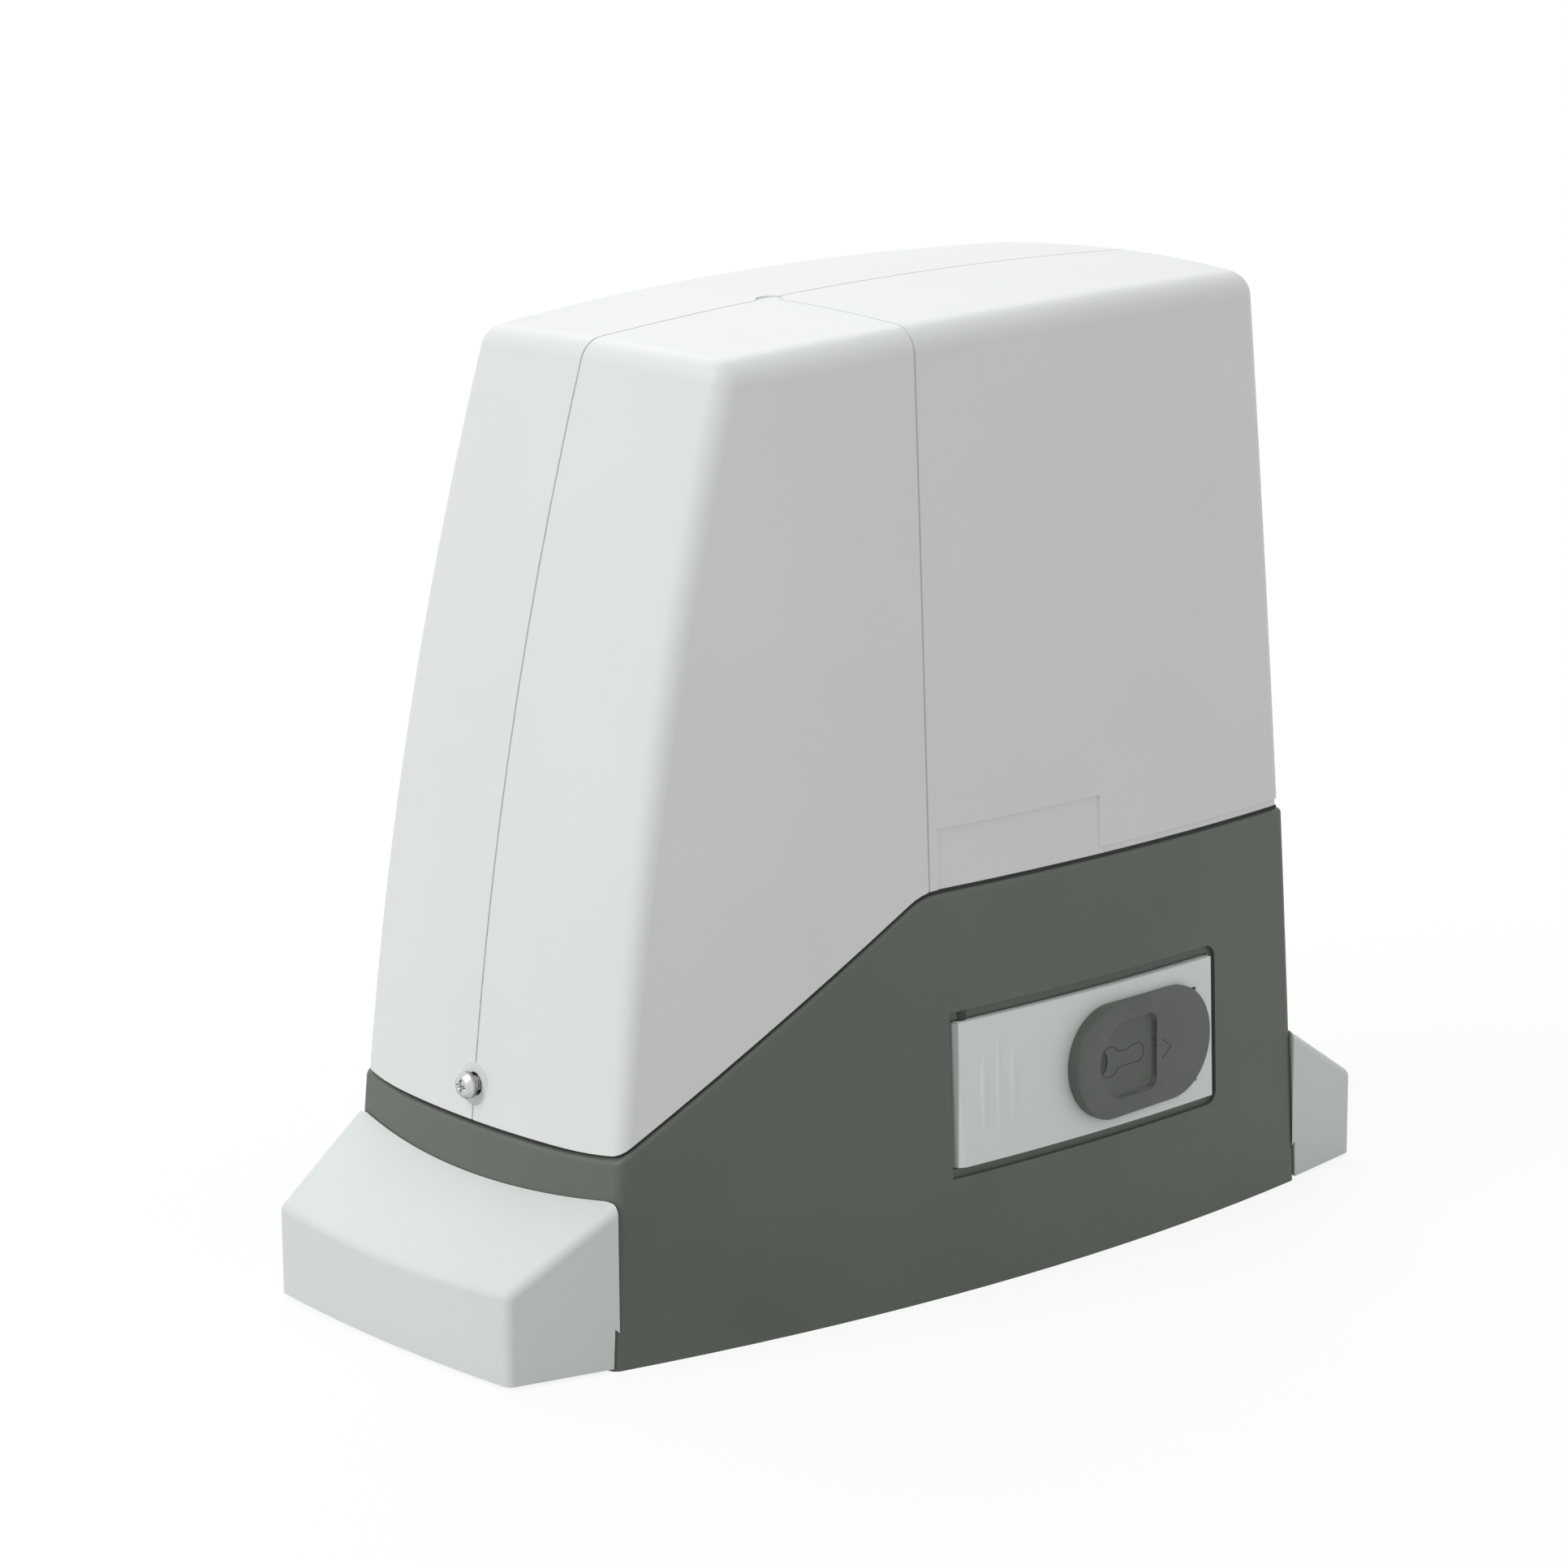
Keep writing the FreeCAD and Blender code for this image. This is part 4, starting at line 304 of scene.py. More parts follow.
# %% [markdown]
# ## Small solids in mesh code
# Two shapes cover most small parts. A moulded block has rounded edges and a lid line sunk into one
# face; it could be a cube with a Bevel modifier, but the sunk lid needs its own faces. A turned
# part is a profile carried round an axis. Both are made by bmesh as closed meshes.


# %% Helpers: an object, a plain mesh, a finished piece
def add_object(name, data):
    """An object at the origin that holds this data."""
    holder = bpy.data.objects.new(name, data)
    bpy.context.collection.objects.link(holder)
    return holder


def plain_mesh(holder):
    """What the object becomes after its modifiers, or its curve or text, as a plain mesh."""
    ready = holder.evaluated_get(bpy.context.evaluated_depsgraph_get())
    return bpy.data.meshes.new_from_object(ready)


def mesh_piece(name, mesh, material):
    """Turns a bmesh into an object with outward faces."""
    bmesh.ops.recalc_face_normals(mesh, faces=mesh.faces)
    data = bpy.data.meshes.new(name)
    mesh.to_mesh(data)
    mesh.free()
    data.materials.append(material)
    return add_object(name, data)


def settle(piece, body, replaces=(), smooth=False):
    """Rides the finished piece on its body, hides any CAD node it stands for, and may shade it
    smooth.
    """
    if smooth:
        for face in piece.data.polygons:
            face.use_smooth = True
    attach(piece, body)
    for node in replaces:
        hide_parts(node)
    return piece


print("helpers for pieces ready")


# %% Helpers: moulded block, turned part, joining
def fitted_cube(low, high):
    """A cube stretched between two corners, as a bmesh."""
    mesh = bmesh.new()
    bmesh.ops.create_cube(mesh, size=1.0)
    size = Vector(high) - Vector(low)
    for vert in mesh.verts:
        vert.co = Vector(low) + Vector((v + 0.5) * s for v, s in zip(vert.co, size))
    return mesh


def sink_face(mesh, face, margin, slope, deep):
    """Sinks a panel into the face; slope is how far its walls lean in."""
    bmesh.ops.inset_region(mesh, faces=[face], thickness=margin, depth=0)
    bmesh.ops.inset_region(mesh, faces=[face], thickness=slope, depth=-deep)


def moulded_block(name, low, high, material, edge=0.0006, lid=0.0, sink=0.0005):
    """A block with rounded edges; lid is the margin of a panel sunk into the face towards -X."""
    mesh = fitted_cube(low, high)
    bmesh.ops.bevel(mesh, geom=mesh.edges[:], offset=edge, segments=3, profile=0.5,
                    affect="EDGES", clamp_overlap=True)
    if lid:
        front = min(mesh.faces, key=lambda f: f.calc_center_median().x - f.calc_area())
        sink_face(mesh, front, lid, sink * 0.6, sink)
    return mesh_piece(name, mesh, material)


def turned_part(name, profile, foot, direction, material, steps=24):
    """profile lists (radius, height), from axis to axis, or round a ring's section and back."""
    mesh = bmesh.new()
    turn = Vector(direction).to_track_quat("Z", "Y").to_matrix()
    angles = [i * math.tau / steps for i in range(steps)]
    rings = []
    for radius, height in profile:
        spots = [Vector((radius * math.cos(a), radius * math.sin(a), height))
                 for a in (angles if radius else angles[:1])]
        rings.append([mesh.verts.new(Vector(foot) + turn @ spot) for spot in spots])
    for below, above in zip(rings, rings[1:]):
        for i in range(steps):
            j = (i + 1) % steps
            corners = [below[i % len(below)], below[j % len(below)],
                       above[j % len(above)], above[i % len(above)]]
            mesh.faces.new(list(dict.fromkeys(corners)))
    bmesh.ops.remove_doubles(mesh, verts=mesh.verts, dist=1e-7)
    return mesh_piece(name, mesh, material)


def join(name, pieces):
    """Makes one object of several, each keeping its own finish."""
    mesh = bmesh.new()
    finishes = []
    for piece in pieces:
        own = list(piece.data.materials)
        for material in own:
            if material not in finishes:
                finishes.append(material)
        for face in piece.data.polygons:
            face.material_index = finishes.index(own[face.material_index])
        mesh.from_mesh(piece.data)
        bpy.data.objects.remove(piece)
    data = bpy.data.meshes.new(name)
    mesh.to_mesh(data)
    mesh.free()
    for material in finishes:
        data.materials.append(material)
    return add_object(name, data)


print("mesh helpers ready")

# %% [markdown]
# ## Growing what repeats
# Threads, sheets, screw rows and pins repeat. Copying meshes in a loop would do it; a Geometry
# Nodes tree says the rule once, with named inputs for its sizes, so the same tree serves several
# pieces. Each tree ends in real copies and a Set Material, and its result is kept as a plain mesh.


# %% Helpers for node trees
def new_tree(name, **sizes):
    """An empty tree with a named input for each size, and one more for the finish."""
    tree = bpy.data.node_groups.new(name, "GeometryNodeTree")
    kinds = {int: "Int", float: "Float", tuple: "Vector", type(None): "Object"}
    for label, value in sizes.items():
        socket = tree.interface.new_socket(label.replace("_", " "), in_out="INPUT",
                                           socket_type="NodeSocket" + kinds[type(value)])
        if value is not None:
            socket.default_value = value
    tree.interface.new_socket("Finish", in_out="INPUT", socket_type="NodeSocketMaterial")
    tree.interface.new_socket("Geometry", in_out="OUTPUT", socket_type="NodeSocketGeometry")
    given = tree.nodes.new("NodeGroupInput").outputs
    return tree, given


def put(tree, kind, **values):
    """A node with its inputs set; a value that is a socket is linked."""
    node = tree.nodes.new("GeometryNode" + kind)
    for label, value in values.items():
        socket = node.inputs[label.replace("_", " ")]
        if isinstance(value, bpy.types.NodeSocket):
            tree.links.new(value, socket)
        else:
            socket.default_value = value
    return node.outputs[0]


def divide(tree, first, second):
    """The first socket divided by the second."""
    node = tree.nodes.new("ShaderNodeMath")
    node.operation = "DIVIDE"
    tree.links.new(first, node.inputs[0])
    tree.links.new(second, node.inputs[1])
    return node.outputs[0]


def close_tree(tree, given, geometry):
    """Ends the tree: real copies, then the finish."""
    real = put(tree, "RealizeInstances", Geometry=geometry)
    dressed = put(tree, "SetMaterial", Geometry=real, Material=given["Finish"])
    tree.links.new(dressed, tree.nodes.new("NodeGroupOutput").inputs[0])


def grow(name, tree, material, **sizes):
    """Runs the tree with these sizes and keeps what it makes as a plain mesh."""
    holder = add_object(name + "_tree", bpy.data.meshes.new(name + "_tree"))
    modifier = holder.modifiers.new("tree", "NODES")
    modifier.node_group = tree
    wanted = {label.replace("_", " "): value for label, value in sizes.items()}
    wanted["Finish"] = material
    for item in tree.interface.items_tree:
        if item.in_out == "INPUT" and item.name in wanted:
            modifier[item.identifier] = wanted.pop(item.name)
    assert not wanted, wanted
    piece = add_object(name, plain_mesh(holder))
    bpy.data.objects.remove(holder)
    print(name, len(piece.data.polygons), "faces")
    return piece


print("tree helpers ready")

# %% [markdown]
# ## Copies of CAD meshes
# A CAD mesh is never changed. To reshape a piece a little, its mesh is copied, its loose triangles
# are merged, and the copy is shaded smooth with its hard edges kept; it then replaces the node. A
# Weighted Normal modifier keeps the large flat faces flat, which plain smooth shading would bend.


# %% Helpers: a merged copy and its shading
def copy_of(node):
    """A merged copy of a CAD node's mesh, as a bmesh."""
    mesh = bmesh.new()
    mesh.from_mesh(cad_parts[node].data)
    bmesh.ops.remove_doubles(mesh, verts=mesh.verts, dist=1e-6)
    return mesh


def soften(piece, angle=25):
    """Smooth shading: sharp edges stay sharp, and the large flat faces stay flat."""
    for face in piece.data.polygons:
        face.use_smooth = True
    piece.data.set_sharp_from_angle(angle=math.radians(angle))
    weigh = piece.modifiers.new("weigh", "WEIGHTED_NORMAL")
    weigh.keep_sharp = True
    data = plain_mesh(piece)
    piece.modifiers.clear()
    piece.data = data
    return piece


print("copy helpers ready")

# %% [markdown]
# ## The hood screws
# The two hood screws are loose and stand out of their wells. They are driven in 3 mm further here
# than in the CAD: each half of the copied mesh slides along X towards the middle.

# %% Drive both screws in
screw_low, screw_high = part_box("hood_screws")
left_screw_z, right_screw_z = 0.069, 0.128
screw_drive = 0.0031
mesh = copy_of("hood_screws")
for vert in mesh.verts:
    vert.co.x += screw_drive if vert.co.x < 0 else -screw_drive
driven_screws = soften(mesh_piece("driven_screws", mesh, zinc))
settle(driven_screws, "hood", replaces=["hood_screws"])
print("screws driven in by", screw_drive)

# %% [markdown]
# ### The step in each well
# A screw's well narrows a little below the skin, and the light falls on that step. It could be cut
# into the hood, but a flat ring turned round the screw's axis shows the same and leaves the hood
# alone.

# %% Set a ring in each well
screw_stand = 0.0050
step_deep, step_thick = 0.0030, 0.0012
bore_radius, well_radius = 0.0034, 0.0060
step_ring = [(bore_radius, 0), (well_radius, 0), (well_radius, step_thick),
             (bore_radius, step_thick), (bore_radius, 0)]
steps = [turned_part("well_step", step_ring, (x, 0.0, z), (side, 0, 0), hood_grey, 40)
         for x, z, side in ((screw_low.x + screw_stand + step_deep, left_screw_z, 1),
                            (screw_high.x - screw_stand - step_deep, right_screw_z, -1))]
settle(join("well_steps", steps), "hood")
print("wells stepped", step_deep, "below the skin")

# %% [markdown]
# ### Their threads
# A thread is a ridge on a helix: a spiral curve with a small three-sided profile swept along it. A
# stack of rings would look alike from afar, but wouldn't climb.

# %% Thread both hood screws
thread_tree, given = new_tree("screw_thread", Length=0.01, Pitch=0.0007, Shank_Radius=0.002,
                              Ridge=0.0003, Start=(0.0, 0.0, 0.0))
spiral = put(thread_tree, "CurveSpiral", Resolution=20,
             Rotations=divide(thread_tree, given["Length"], given["Pitch"]),
             Start_Radius=given["Shank Radius"], End_Radius=given["Shank Radius"],
             Height=given["Length"])
ridge = put(thread_tree, "CurvePrimitiveCircle", Resolution=3, Radius=given["Ridge"])
swept = put(thread_tree, "CurveToMesh", Curve=spiral, Profile_Curve=ridge, Fill_Caps=True)
close_tree(thread_tree, given, put(thread_tree, "Transform", Geometry=swept,
                                   Rotation=(0, math.pi / 2, 0), Translation=given["Start"]))

head_thick = 0.0030
under_head = head_thick + screw_drive
thread_long = 0.0105
left_thread = grow("left_screw_thread", thread_tree, zinc, Length=thread_long,
                   Start=(screw_low.x + under_head, 0.0, left_screw_z))
right_thread = grow("right_screw_thread", thread_tree, zinc, Length=thread_long,
                    Start=(screw_high.x - under_head - thread_long, 0.0, right_screw_z))
for piece in (left_thread, right_thread):
    settle(piece, "hood", smooth=True)

# %% [markdown]
# ## The stator's sheets
# From outside, the motor's waist is the edge of some hundred and forty stamped sheets. The
# material draws every line; a few real ridges, one ring copied up the stack, break its outline as
# well.

# %% Ring the stator
sheet_tree, given = new_tree("sheet_rings", Radius=0.048, Ridge=0.00025, Rings=40, Step=0.0018,
                             Start=(0.0, 0.0, 0.0))
ring = put(sheet_tree, "CurvePrimitiveCircle", Resolution=96, Radius=given["Radius"])
bead = put(sheet_tree, "CurvePrimitiveCircle", Resolution=4, Radius=given["Ridge"])
hoop = put(sheet_tree, "CurveToMesh", Curve=ring, Profile_Curve=bead)
rise = sheet_tree.nodes.new("ShaderNodeCombineXYZ")
sheet_tree.links.new(given["Step"], rise.inputs["Z"])
levels = put(sheet_tree, "MeshLine", Count=given["Rings"], Start_Location=given["Start"],
             Offset=rise.outputs[0])
close_tree(sheet_tree, given, put(sheet_tree, "InstanceOnPoints", Points=levels, Instance=hoop))

stator_low, stator_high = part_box("stator_core")
motor_x, motor_y = (stator_low.x + stator_high.x) / 2, (stator_low.y + stator_high.y) / 2
sheet_step = 0.0018
sheet_rings = grow("stator_sheet_edges", sheet_tree, lamination, Step=sheet_step,
                   Radius=(stator_high.x - stator_low.x) / 2,
                   Rings=int((stator_high.z - stator_low.z) / sheet_step),
                   Start=(motor_x, motor_y, stator_low.z + sheet_step / 2))
settle(sheet_rings, "base", smooth=True)

# %% [markdown]
# ## Rows of small parts
# One tree copies a small object over a grid. It sets out the terminal blocks' poles and screws,
# the controller's pins, the resistors and the signal lights.

# %% The grid tree
grid_tree, given = new_tree("grid_of_parts", Part=None, Rows=1, Columns=1,
                            Row_Step=(0.0, 0.0, 0.0), Column_Step=(0.0, 0.0, 0.0))
rows = put(grid_tree, "MeshLine", Count=given["Rows"], Offset=given["Row Step"])
columns = put(grid_tree, "MeshLine", Count=given["Columns"], Offset=given["Column Step"])
points = put(grid_tree, "RealizeInstances",
             Geometry=put(grid_tree, "InstanceOnPoints", Points=rows, Instance=columns))
info = grid_tree.nodes.new("GeometryNodeObjectInfo")
grid_tree.links.new(given["Part"], info.inputs["Object"])
close_tree(grid_tree, given, put(grid_tree, "InstanceOnPoints", Points=points,
                                 Instance=info.outputs["Geometry"]))


def grid(name, part, material, rows, row_step, columns=1, column_step=(0.0, 0.0, 0.0)):
    """Copies the part, which stands at the grid's first place, and removes the pattern."""
    piece = grow(name, grid_tree, material, Part=part, Rows=rows, Row_Step=row_step,
                 Columns=columns, Column_Step=column_step)
    bpy.data.objects.remove(part)
    return piece


print("grid tree ready")

# %% [markdown]
# ## Terminal blocks
# The installer's cables come up from the floor and are clamped in three green blocks of three
# poles. Each pole is a little house with a screw in its front and a square mouth below. One pole
# is built and the grid tree sets out nine; the blocks stand a little apart, as the CAD says.

# %% One pole, nine times
block_low, block_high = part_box("terminal_blocks")
board_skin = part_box("control_board")[0].x
block_step = 0.0215
pole_step = 0.019 / 3
screw_seat = 0.0010


def terminal_pole():
    """A pole's housing: a box with a chamfered top and a wire mouth sunk in its underside."""
    mesh = fitted_cube(block_low, (block_high.x, block_low.y + pole_step, block_high.z))
    corner = [e for e in mesh.edges if all(v.co.x < block_low.x + 1e-6 for v in e.verts)
              and all(v.co.z > block_high.z - 1e-6 for v in e.verts)]
    bmesh.ops.bevel(mesh, geom=corner, offset=0.0022, segments=1, affect="EDGES")
    under = min(mesh.faces, key=lambda f: f.calc_center_median().z)
    sink_face(mesh, under, 0.0009, 0.0002, 0.0050)
    mesh.normal_update()
    front = max((f for f in mesh.faces if f.normal.x < -0.9), key=lambda f: f.calc_area())
    sink_face(mesh, front, 0.0007, 0.0002, screw_seat)
    return mesh_piece("pole", mesh, terminal_green)


poles = grid("terminal_housings", terminal_pole(), terminal_green, 3, (0.0, block_step, 0.0),
             3, (0.0, pole_step, 0.0))
settle(poles, "base", replaces=["terminal_blocks"])

# %% [markdown]
# ### The clamping screws
# Each pole's screw has a straight slot. Cutting a slot with a Boolean would do it, but two half
# discs with a gap between them and a thinner disc below are simpler and always closed. The same
# head serves the trimmers further on.


# %% A slotted screw in each pole
def slotted_head(radius, high, slot_wide, slot_deep):
    """A flat screw head that faces -X, with its slot cut right across."""
    mesh = bmesh.new()
    for side in (-1, 1):
        start = math.asin(slot_wide / 2 / radius)
        arc = [start + i * (math.pi - 2 * start) / 10 for i in range(11)]
        rim = [Vector((0, side * radius * math.sin(a), radius * math.cos(a))) for a in arc]
        low = [mesh.verts.new(v) for v in rim]
        top = [mesh.verts.new(v + Vector((-high, 0, 0))) for v in rim]
        mesh.faces.new(low)
        mesh.faces.new(top)
        for i in range(len(rim)):
            j = (i + 1) % len(rim)
            mesh.faces.new((low[i], low[j], top[j], top[i]))
    disc = bmesh.ops.create_cone(mesh, cap_ends=True, segments=20, radius1=radius * 0.98,
                                 radius2=radius * 0.98, depth=high - slot_deep)
    bmesh.ops.rotate(mesh, verts=disc["verts"], matrix=Matrix.Rotation(math.pi / 2, 3, "Y"))
    bmesh.ops.translate(mesh, verts=disc["verts"], vec=(-(high - slot_deep) / 2, 0, 0))
    return mesh_piece("slotted_head", mesh, zinc)


head = slotted_head(0.0020, 0.0009, 0.0006, 0.0005)
head_up = 0.0038
head.data.transform(Matrix.Translation((block_low.x + screw_seat, block_low.y + pole_step / 2,
                                        block_low.z + head_up)))
terminal_screws = grid("terminal_screws", head, zinc, 3, (0.0, block_step, 0.0),
                       3, (0.0, pole_step, 0.0))
settle(terminal_screws, "base")

# %% [markdown]
# ## Plain numbers beside the poles
# An installer finds a pole by its number, printed on the board. Text is made a mesh, turned to
# face the way the board faces, and given a hair's thickness.

# %% Print the pole numbers
number_high, number_up, ink_thick = 0.0026, 0.0010, 0.00005
facing = Matrix(((0, 0, -1), (-1, 0, 0), (0, 1, 0))).to_4x4()


def printed_number(value, across):
    """A number printed on the board's face above the pole that stands at y = across."""
    words = bpy.data.curves.new("number", "FONT")
    words.body = str(value)
    words.size = number_high
    words.extrude = ink_thick
    words.align_x = "CENTER"
    printed = add_object("number", words)
    data = plain_mesh(printed)
    bpy.data.objects.remove(printed)
    data.transform(Matrix.Translation((board_skin - ink_thick, across, block_high.z + number_up))
                   @ facing)
    data.materials.clear()
    data.materials.append(white)
    return add_object("number", data)


numbers = [printed_number(block * 3 + pole + 1,
                          block_low.y + block * block_step + (pole + 0.5) * pole_step)
           for block in range(3) for pole in range(3)]
pole_numbers = join("pole_numbers", numbers)
settle(pole_numbers, "base")
print("pole numbers", len(pole_numbers.data.polygons), "faces")

# %% [markdown]
# ## Relays and limit sensor
# The two relays switch the motor's direction. Each is a sealed blue box whose lid is sunk a
# little. The sensor by the rack is a black block of the same kind, cast shut.

# %% Remake relays and sensor as moulded blocks
relay_low, relay_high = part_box("relays")
relay_across = 0.013
relays = [moulded_block("relay", (relay_low.x, y, relay_low.z),
                        (relay_high.x, y + relay_across, relay_high.z),
                        relay_blue, 0.0008, 0.0012, 0.0004)
          for y in (relay_low.y, relay_high.y - relay_across)]
settle(join("relay_housings", relays), "base", replaces=["relays"])
sensor_low, sensor_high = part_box("limit_sensor")
sensor = moulded_block("sensor_block", sensor_low, sensor_high, black, 0.0010)
settle(sensor, "base", replaces=["limit_sensor"])
print("relays and sensor made")

# %% [markdown]
# ## The transformer
# A small transformer is a stack of E-shaped sheets with a taped coil through its middle. The stack
# stands on end here, so its sheet edges run up and down on two faces. It is made of three blocks:
# the stack, the coil, whose two ends stand out of it, and a foot of black plastic.

# %% Stack, coil and foot
coil_low, coil_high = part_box("transformer")
coil_size = coil_high - coil_low
stack_edge = coil_size.y * 0.22
foot_thick, foot_inset = 0.004, 0.002
coil_front, coil_inset = 0.005, 0.007
stack = moulded_block("stack", (coil_low.x, coil_low.y + stack_edge, coil_low.z),
                      (coil_high.x - foot_thick, coil_high.y - stack_edge, coil_high.z),
                      lamination, 0.0004)
taped = moulded_block("taped_coil", (coil_low.x + coil_front, coil_low.y, coil_low.z + coil_inset),
                      (coil_high.x - foot_thick, coil_high.y, coil_high.z - coil_inset),
                      tape_yellow, 0.0035)
foot = moulded_block("coil_foot", (coil_high.x - foot_thick, coil_low.y, coil_low.z + foot_inset),
                     (coil_high.x, coil_high.y, coil_high.z - foot_inset), black, 0.0005)
settle(join("transformer_assembly", [stack, taped, foot]), "base",
       replaces=["transformer"])
print("transformer made")

# %% [markdown]
# ## The fuse
# A glass fuse lies in two spring clips on a black base. The tube and its end caps are turned
# parts.

# %% Base, clips and glass tube
fuse_low, fuse_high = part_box("fuse_holder")
fuse_z = (fuse_low.z + fuse_high.z) / 2
fuse_x = fuse_low.x + 0.0030
base_plate = moulded_block("fuse_base", (fuse_high.x - 0.0020, fuse_low.y, fuse_low.z),
                           fuse_high, black, 0.0005)
tube = turned_part("fuse_tube", [(0, 0), (0.0022, 0), (0.0022, 0.014), (0, 0.014)],
                   (fuse_x, fuse_low.y + 0.005, fuse_z), (0, 1, 0), fuse_glass)
caps = [turned_part("fuse_cap", [(0, 0), (0.0024, 0), (0.0026, 0.0003), (0.0026, 0.0049),
                                 (0, 0.0049)],
                    (fuse_x, y, fuse_z), (0, 1, 0), zinc)
        for y in (fuse_low.y + 0.002, fuse_low.y + 0.0171)]
clips = [moulded_block("fuse_clip", (fuse_x, y, fuse_z + z),
                       (fuse_high.x - 0.0015, y + 0.0032, fuse_z + z + 0.0005), zinc, 0.0001)
         for y in (fuse_low.y + 0.003, fuse_low.y + 0.018) for z in (-0.0031, 0.0026)]
settle(join("fuse_assembly", [base_plate, tube, *caps, *clips]), "base",
       replaces=["fuse_holder"])
print("fuse made")

# %% [markdown]
# ## The controller
# The controller is a flat black block with a sunk lid and a row of pins on either side. A pin is a
# small block; the grid tree sets out thirteen on each side.

# %% Controller and pins
chip_low = Vector((board_skin - 0.0030, -0.0290, 0.1040))
chip_high = Vector((board_skin - 0.0006, -0.0215, 0.1220))
pin_long, pin_step = 0.0012, 0.00131
chip = moulded_block("controller", chip_low, chip_high, black, 0.0003, 0.0010, 0.0001)
pins = []
for side, y in ((-1, chip_low.y), (1, chip_high.y)):
    edge = sorted((y, y + side * pin_long))
    pin = moulded_block("pin", (board_skin - 0.0016, edge[0], chip_low.z + 0.0008),
                        (board_skin, edge[1], chip_low.z + 0.0013), zinc, 0.0001)
    pins.append(grid("pin_row", pin, zinc, 13, (0.0, 0.0, pin_step)))
settle(join("controller_chip", [chip, *pins]), "base")

# %% [markdown]
# ## Resistors
# A resistor is a waisted body between two wire ends. It is turned from a profile round its own
# axis, and the grid tree stacks six of them.

# %% A column of resistors
dog_bone = [(0, -0.0042), (0.0003, -0.0042), (0.0003, -0.0026), (0.0009, -0.0024),
            (0.0012, -0.0018), (0.0009, -0.0012), (0.0009, 0.0012), (0.0012, 0.0018),
            (0.0009, 0.0024), (0.0003, 0.0026), (0.0003, 0.0042), (0, 0.0042)]
resistor_foot = (board_skin - 0.0013, -0.0085, 0.1035)
resistor_step = 0.0036
resistor = turned_part("resistor", dog_bone, resistor_foot, (0, 1, 0), resistor_body, 14)
resistors = grid("resistors", resistor, resistor_body, 6, (0.0, 0.0, resistor_step))
settle(resistors, "base", smooth=True)

# %% [markdown]
# ## Upright capacitors
# Three sleeved cans stand off the board. A turned profile gives the bead near the foot and the
# rolled rim, which a plain cylinder wouldn't have.

# %% Three small cans
can_profile = [(0, 0), (0.0040, 0), (0.0040, 0.0012), (0.0037, 0.0016), (0.0040, 0.0020),
               (0.0040, 0.0104), (0.0036, 0.0109), (0.0032, 0.0109), (0.0030, 0.0107), (0, 0.0107)]
cans = [turned_part("small_can", can_profile, (board_skin, y, 0.0985), (-1, 0, 0), can_sleeve, 28)
        for y in (0.006, 0.0165, 0.027)]
settle(join("upright_capacitors", cans), "base")
print("upright capacitors", len(cans))

# %% [markdown]
# ## Switches
# Eight small sliding switches share one red body. The sliders stand a little proud of it, and the
# grid tree sets them out in a row.

# %% A row of option switches
switch_body = moulded_block("switch_body", (board_skin - 0.0050, 0.005, 0.1500),
                            (board_skin, 0.027, 0.1580), signal_red, 0.0003)
slider = moulded_block("slider", (board_skin - 0.0062, 0.0066, 0.1530),
                       (board_skin - 0.0048, 0.0080, 0.1550), white, 0.0002)
slider_step = 0.00262
sliders = grid("sliders", slider, white, 8, (0.0, slider_step, 0.0))
settle(join("option_switches", [switch_body, sliders]), "base")

# %% [markdown]
# ## Trimmers
# With the three trimmers the installer sets force and times. Each is a blue cube with a slotted
# dial in its middle, so the screw head from above is used again.

# %% Three trimmers
trimmer_side, trimmer_thick, trimmer_z = 0.0066, 0.0045, 0.1630
trimmers = []
for y in (0.0050, 0.0140, 0.0230):
    trimmers.append(moulded_block("trimmer", (board_skin - trimmer_thick, y, trimmer_z),
                                  (board_skin, y + trimmer_side, trimmer_z + trimmer_side),
                                  relay_blue, 0.0004))
    dial = slotted_head(0.0022, 0.0007, 0.0006, 0.0005)
    dial.data.transform(Matrix.Translation((board_skin - trimmer_thick, y + trimmer_side / 2,
                                            trimmer_z + trimmer_side / 2)))
    trimmers.append(dial)
settle(join("trimmers", trimmers), "base")
print("trimmers", len(trimmers) // 2)

# %% [markdown]
# ## Signal lights
# A small red light stands above the terminals for each input. It is a dome on a flange, turned
# round its axis and set out in a row of seven.

# %% A row of signal lights
dome = [(0, 0), (0.0017, 0), (0.0017, 0.0005), (0.0014, 0.0006), (0.0014, 0.0026),
        (0.0012, 0.0033), (0.0007, 0.0038), (0, 0.0040)]
light_step = 0.0100
light = turned_part("signal_light", dome, (board_skin, -0.030, 0.0868), (-1, 0, 0),
                    signal_red, 16)
lights = grid("signal_lights", light, signal_red, 7, (0.0, light_step, 0.0))
settle(lights, "base", smooth=True)

# %% [markdown]
# ## The motor capacitor
# The run capacitor is a white plastic can with a crimped rim and two blade contacts on top. It is
# a turned part, so the rim is in its profile.

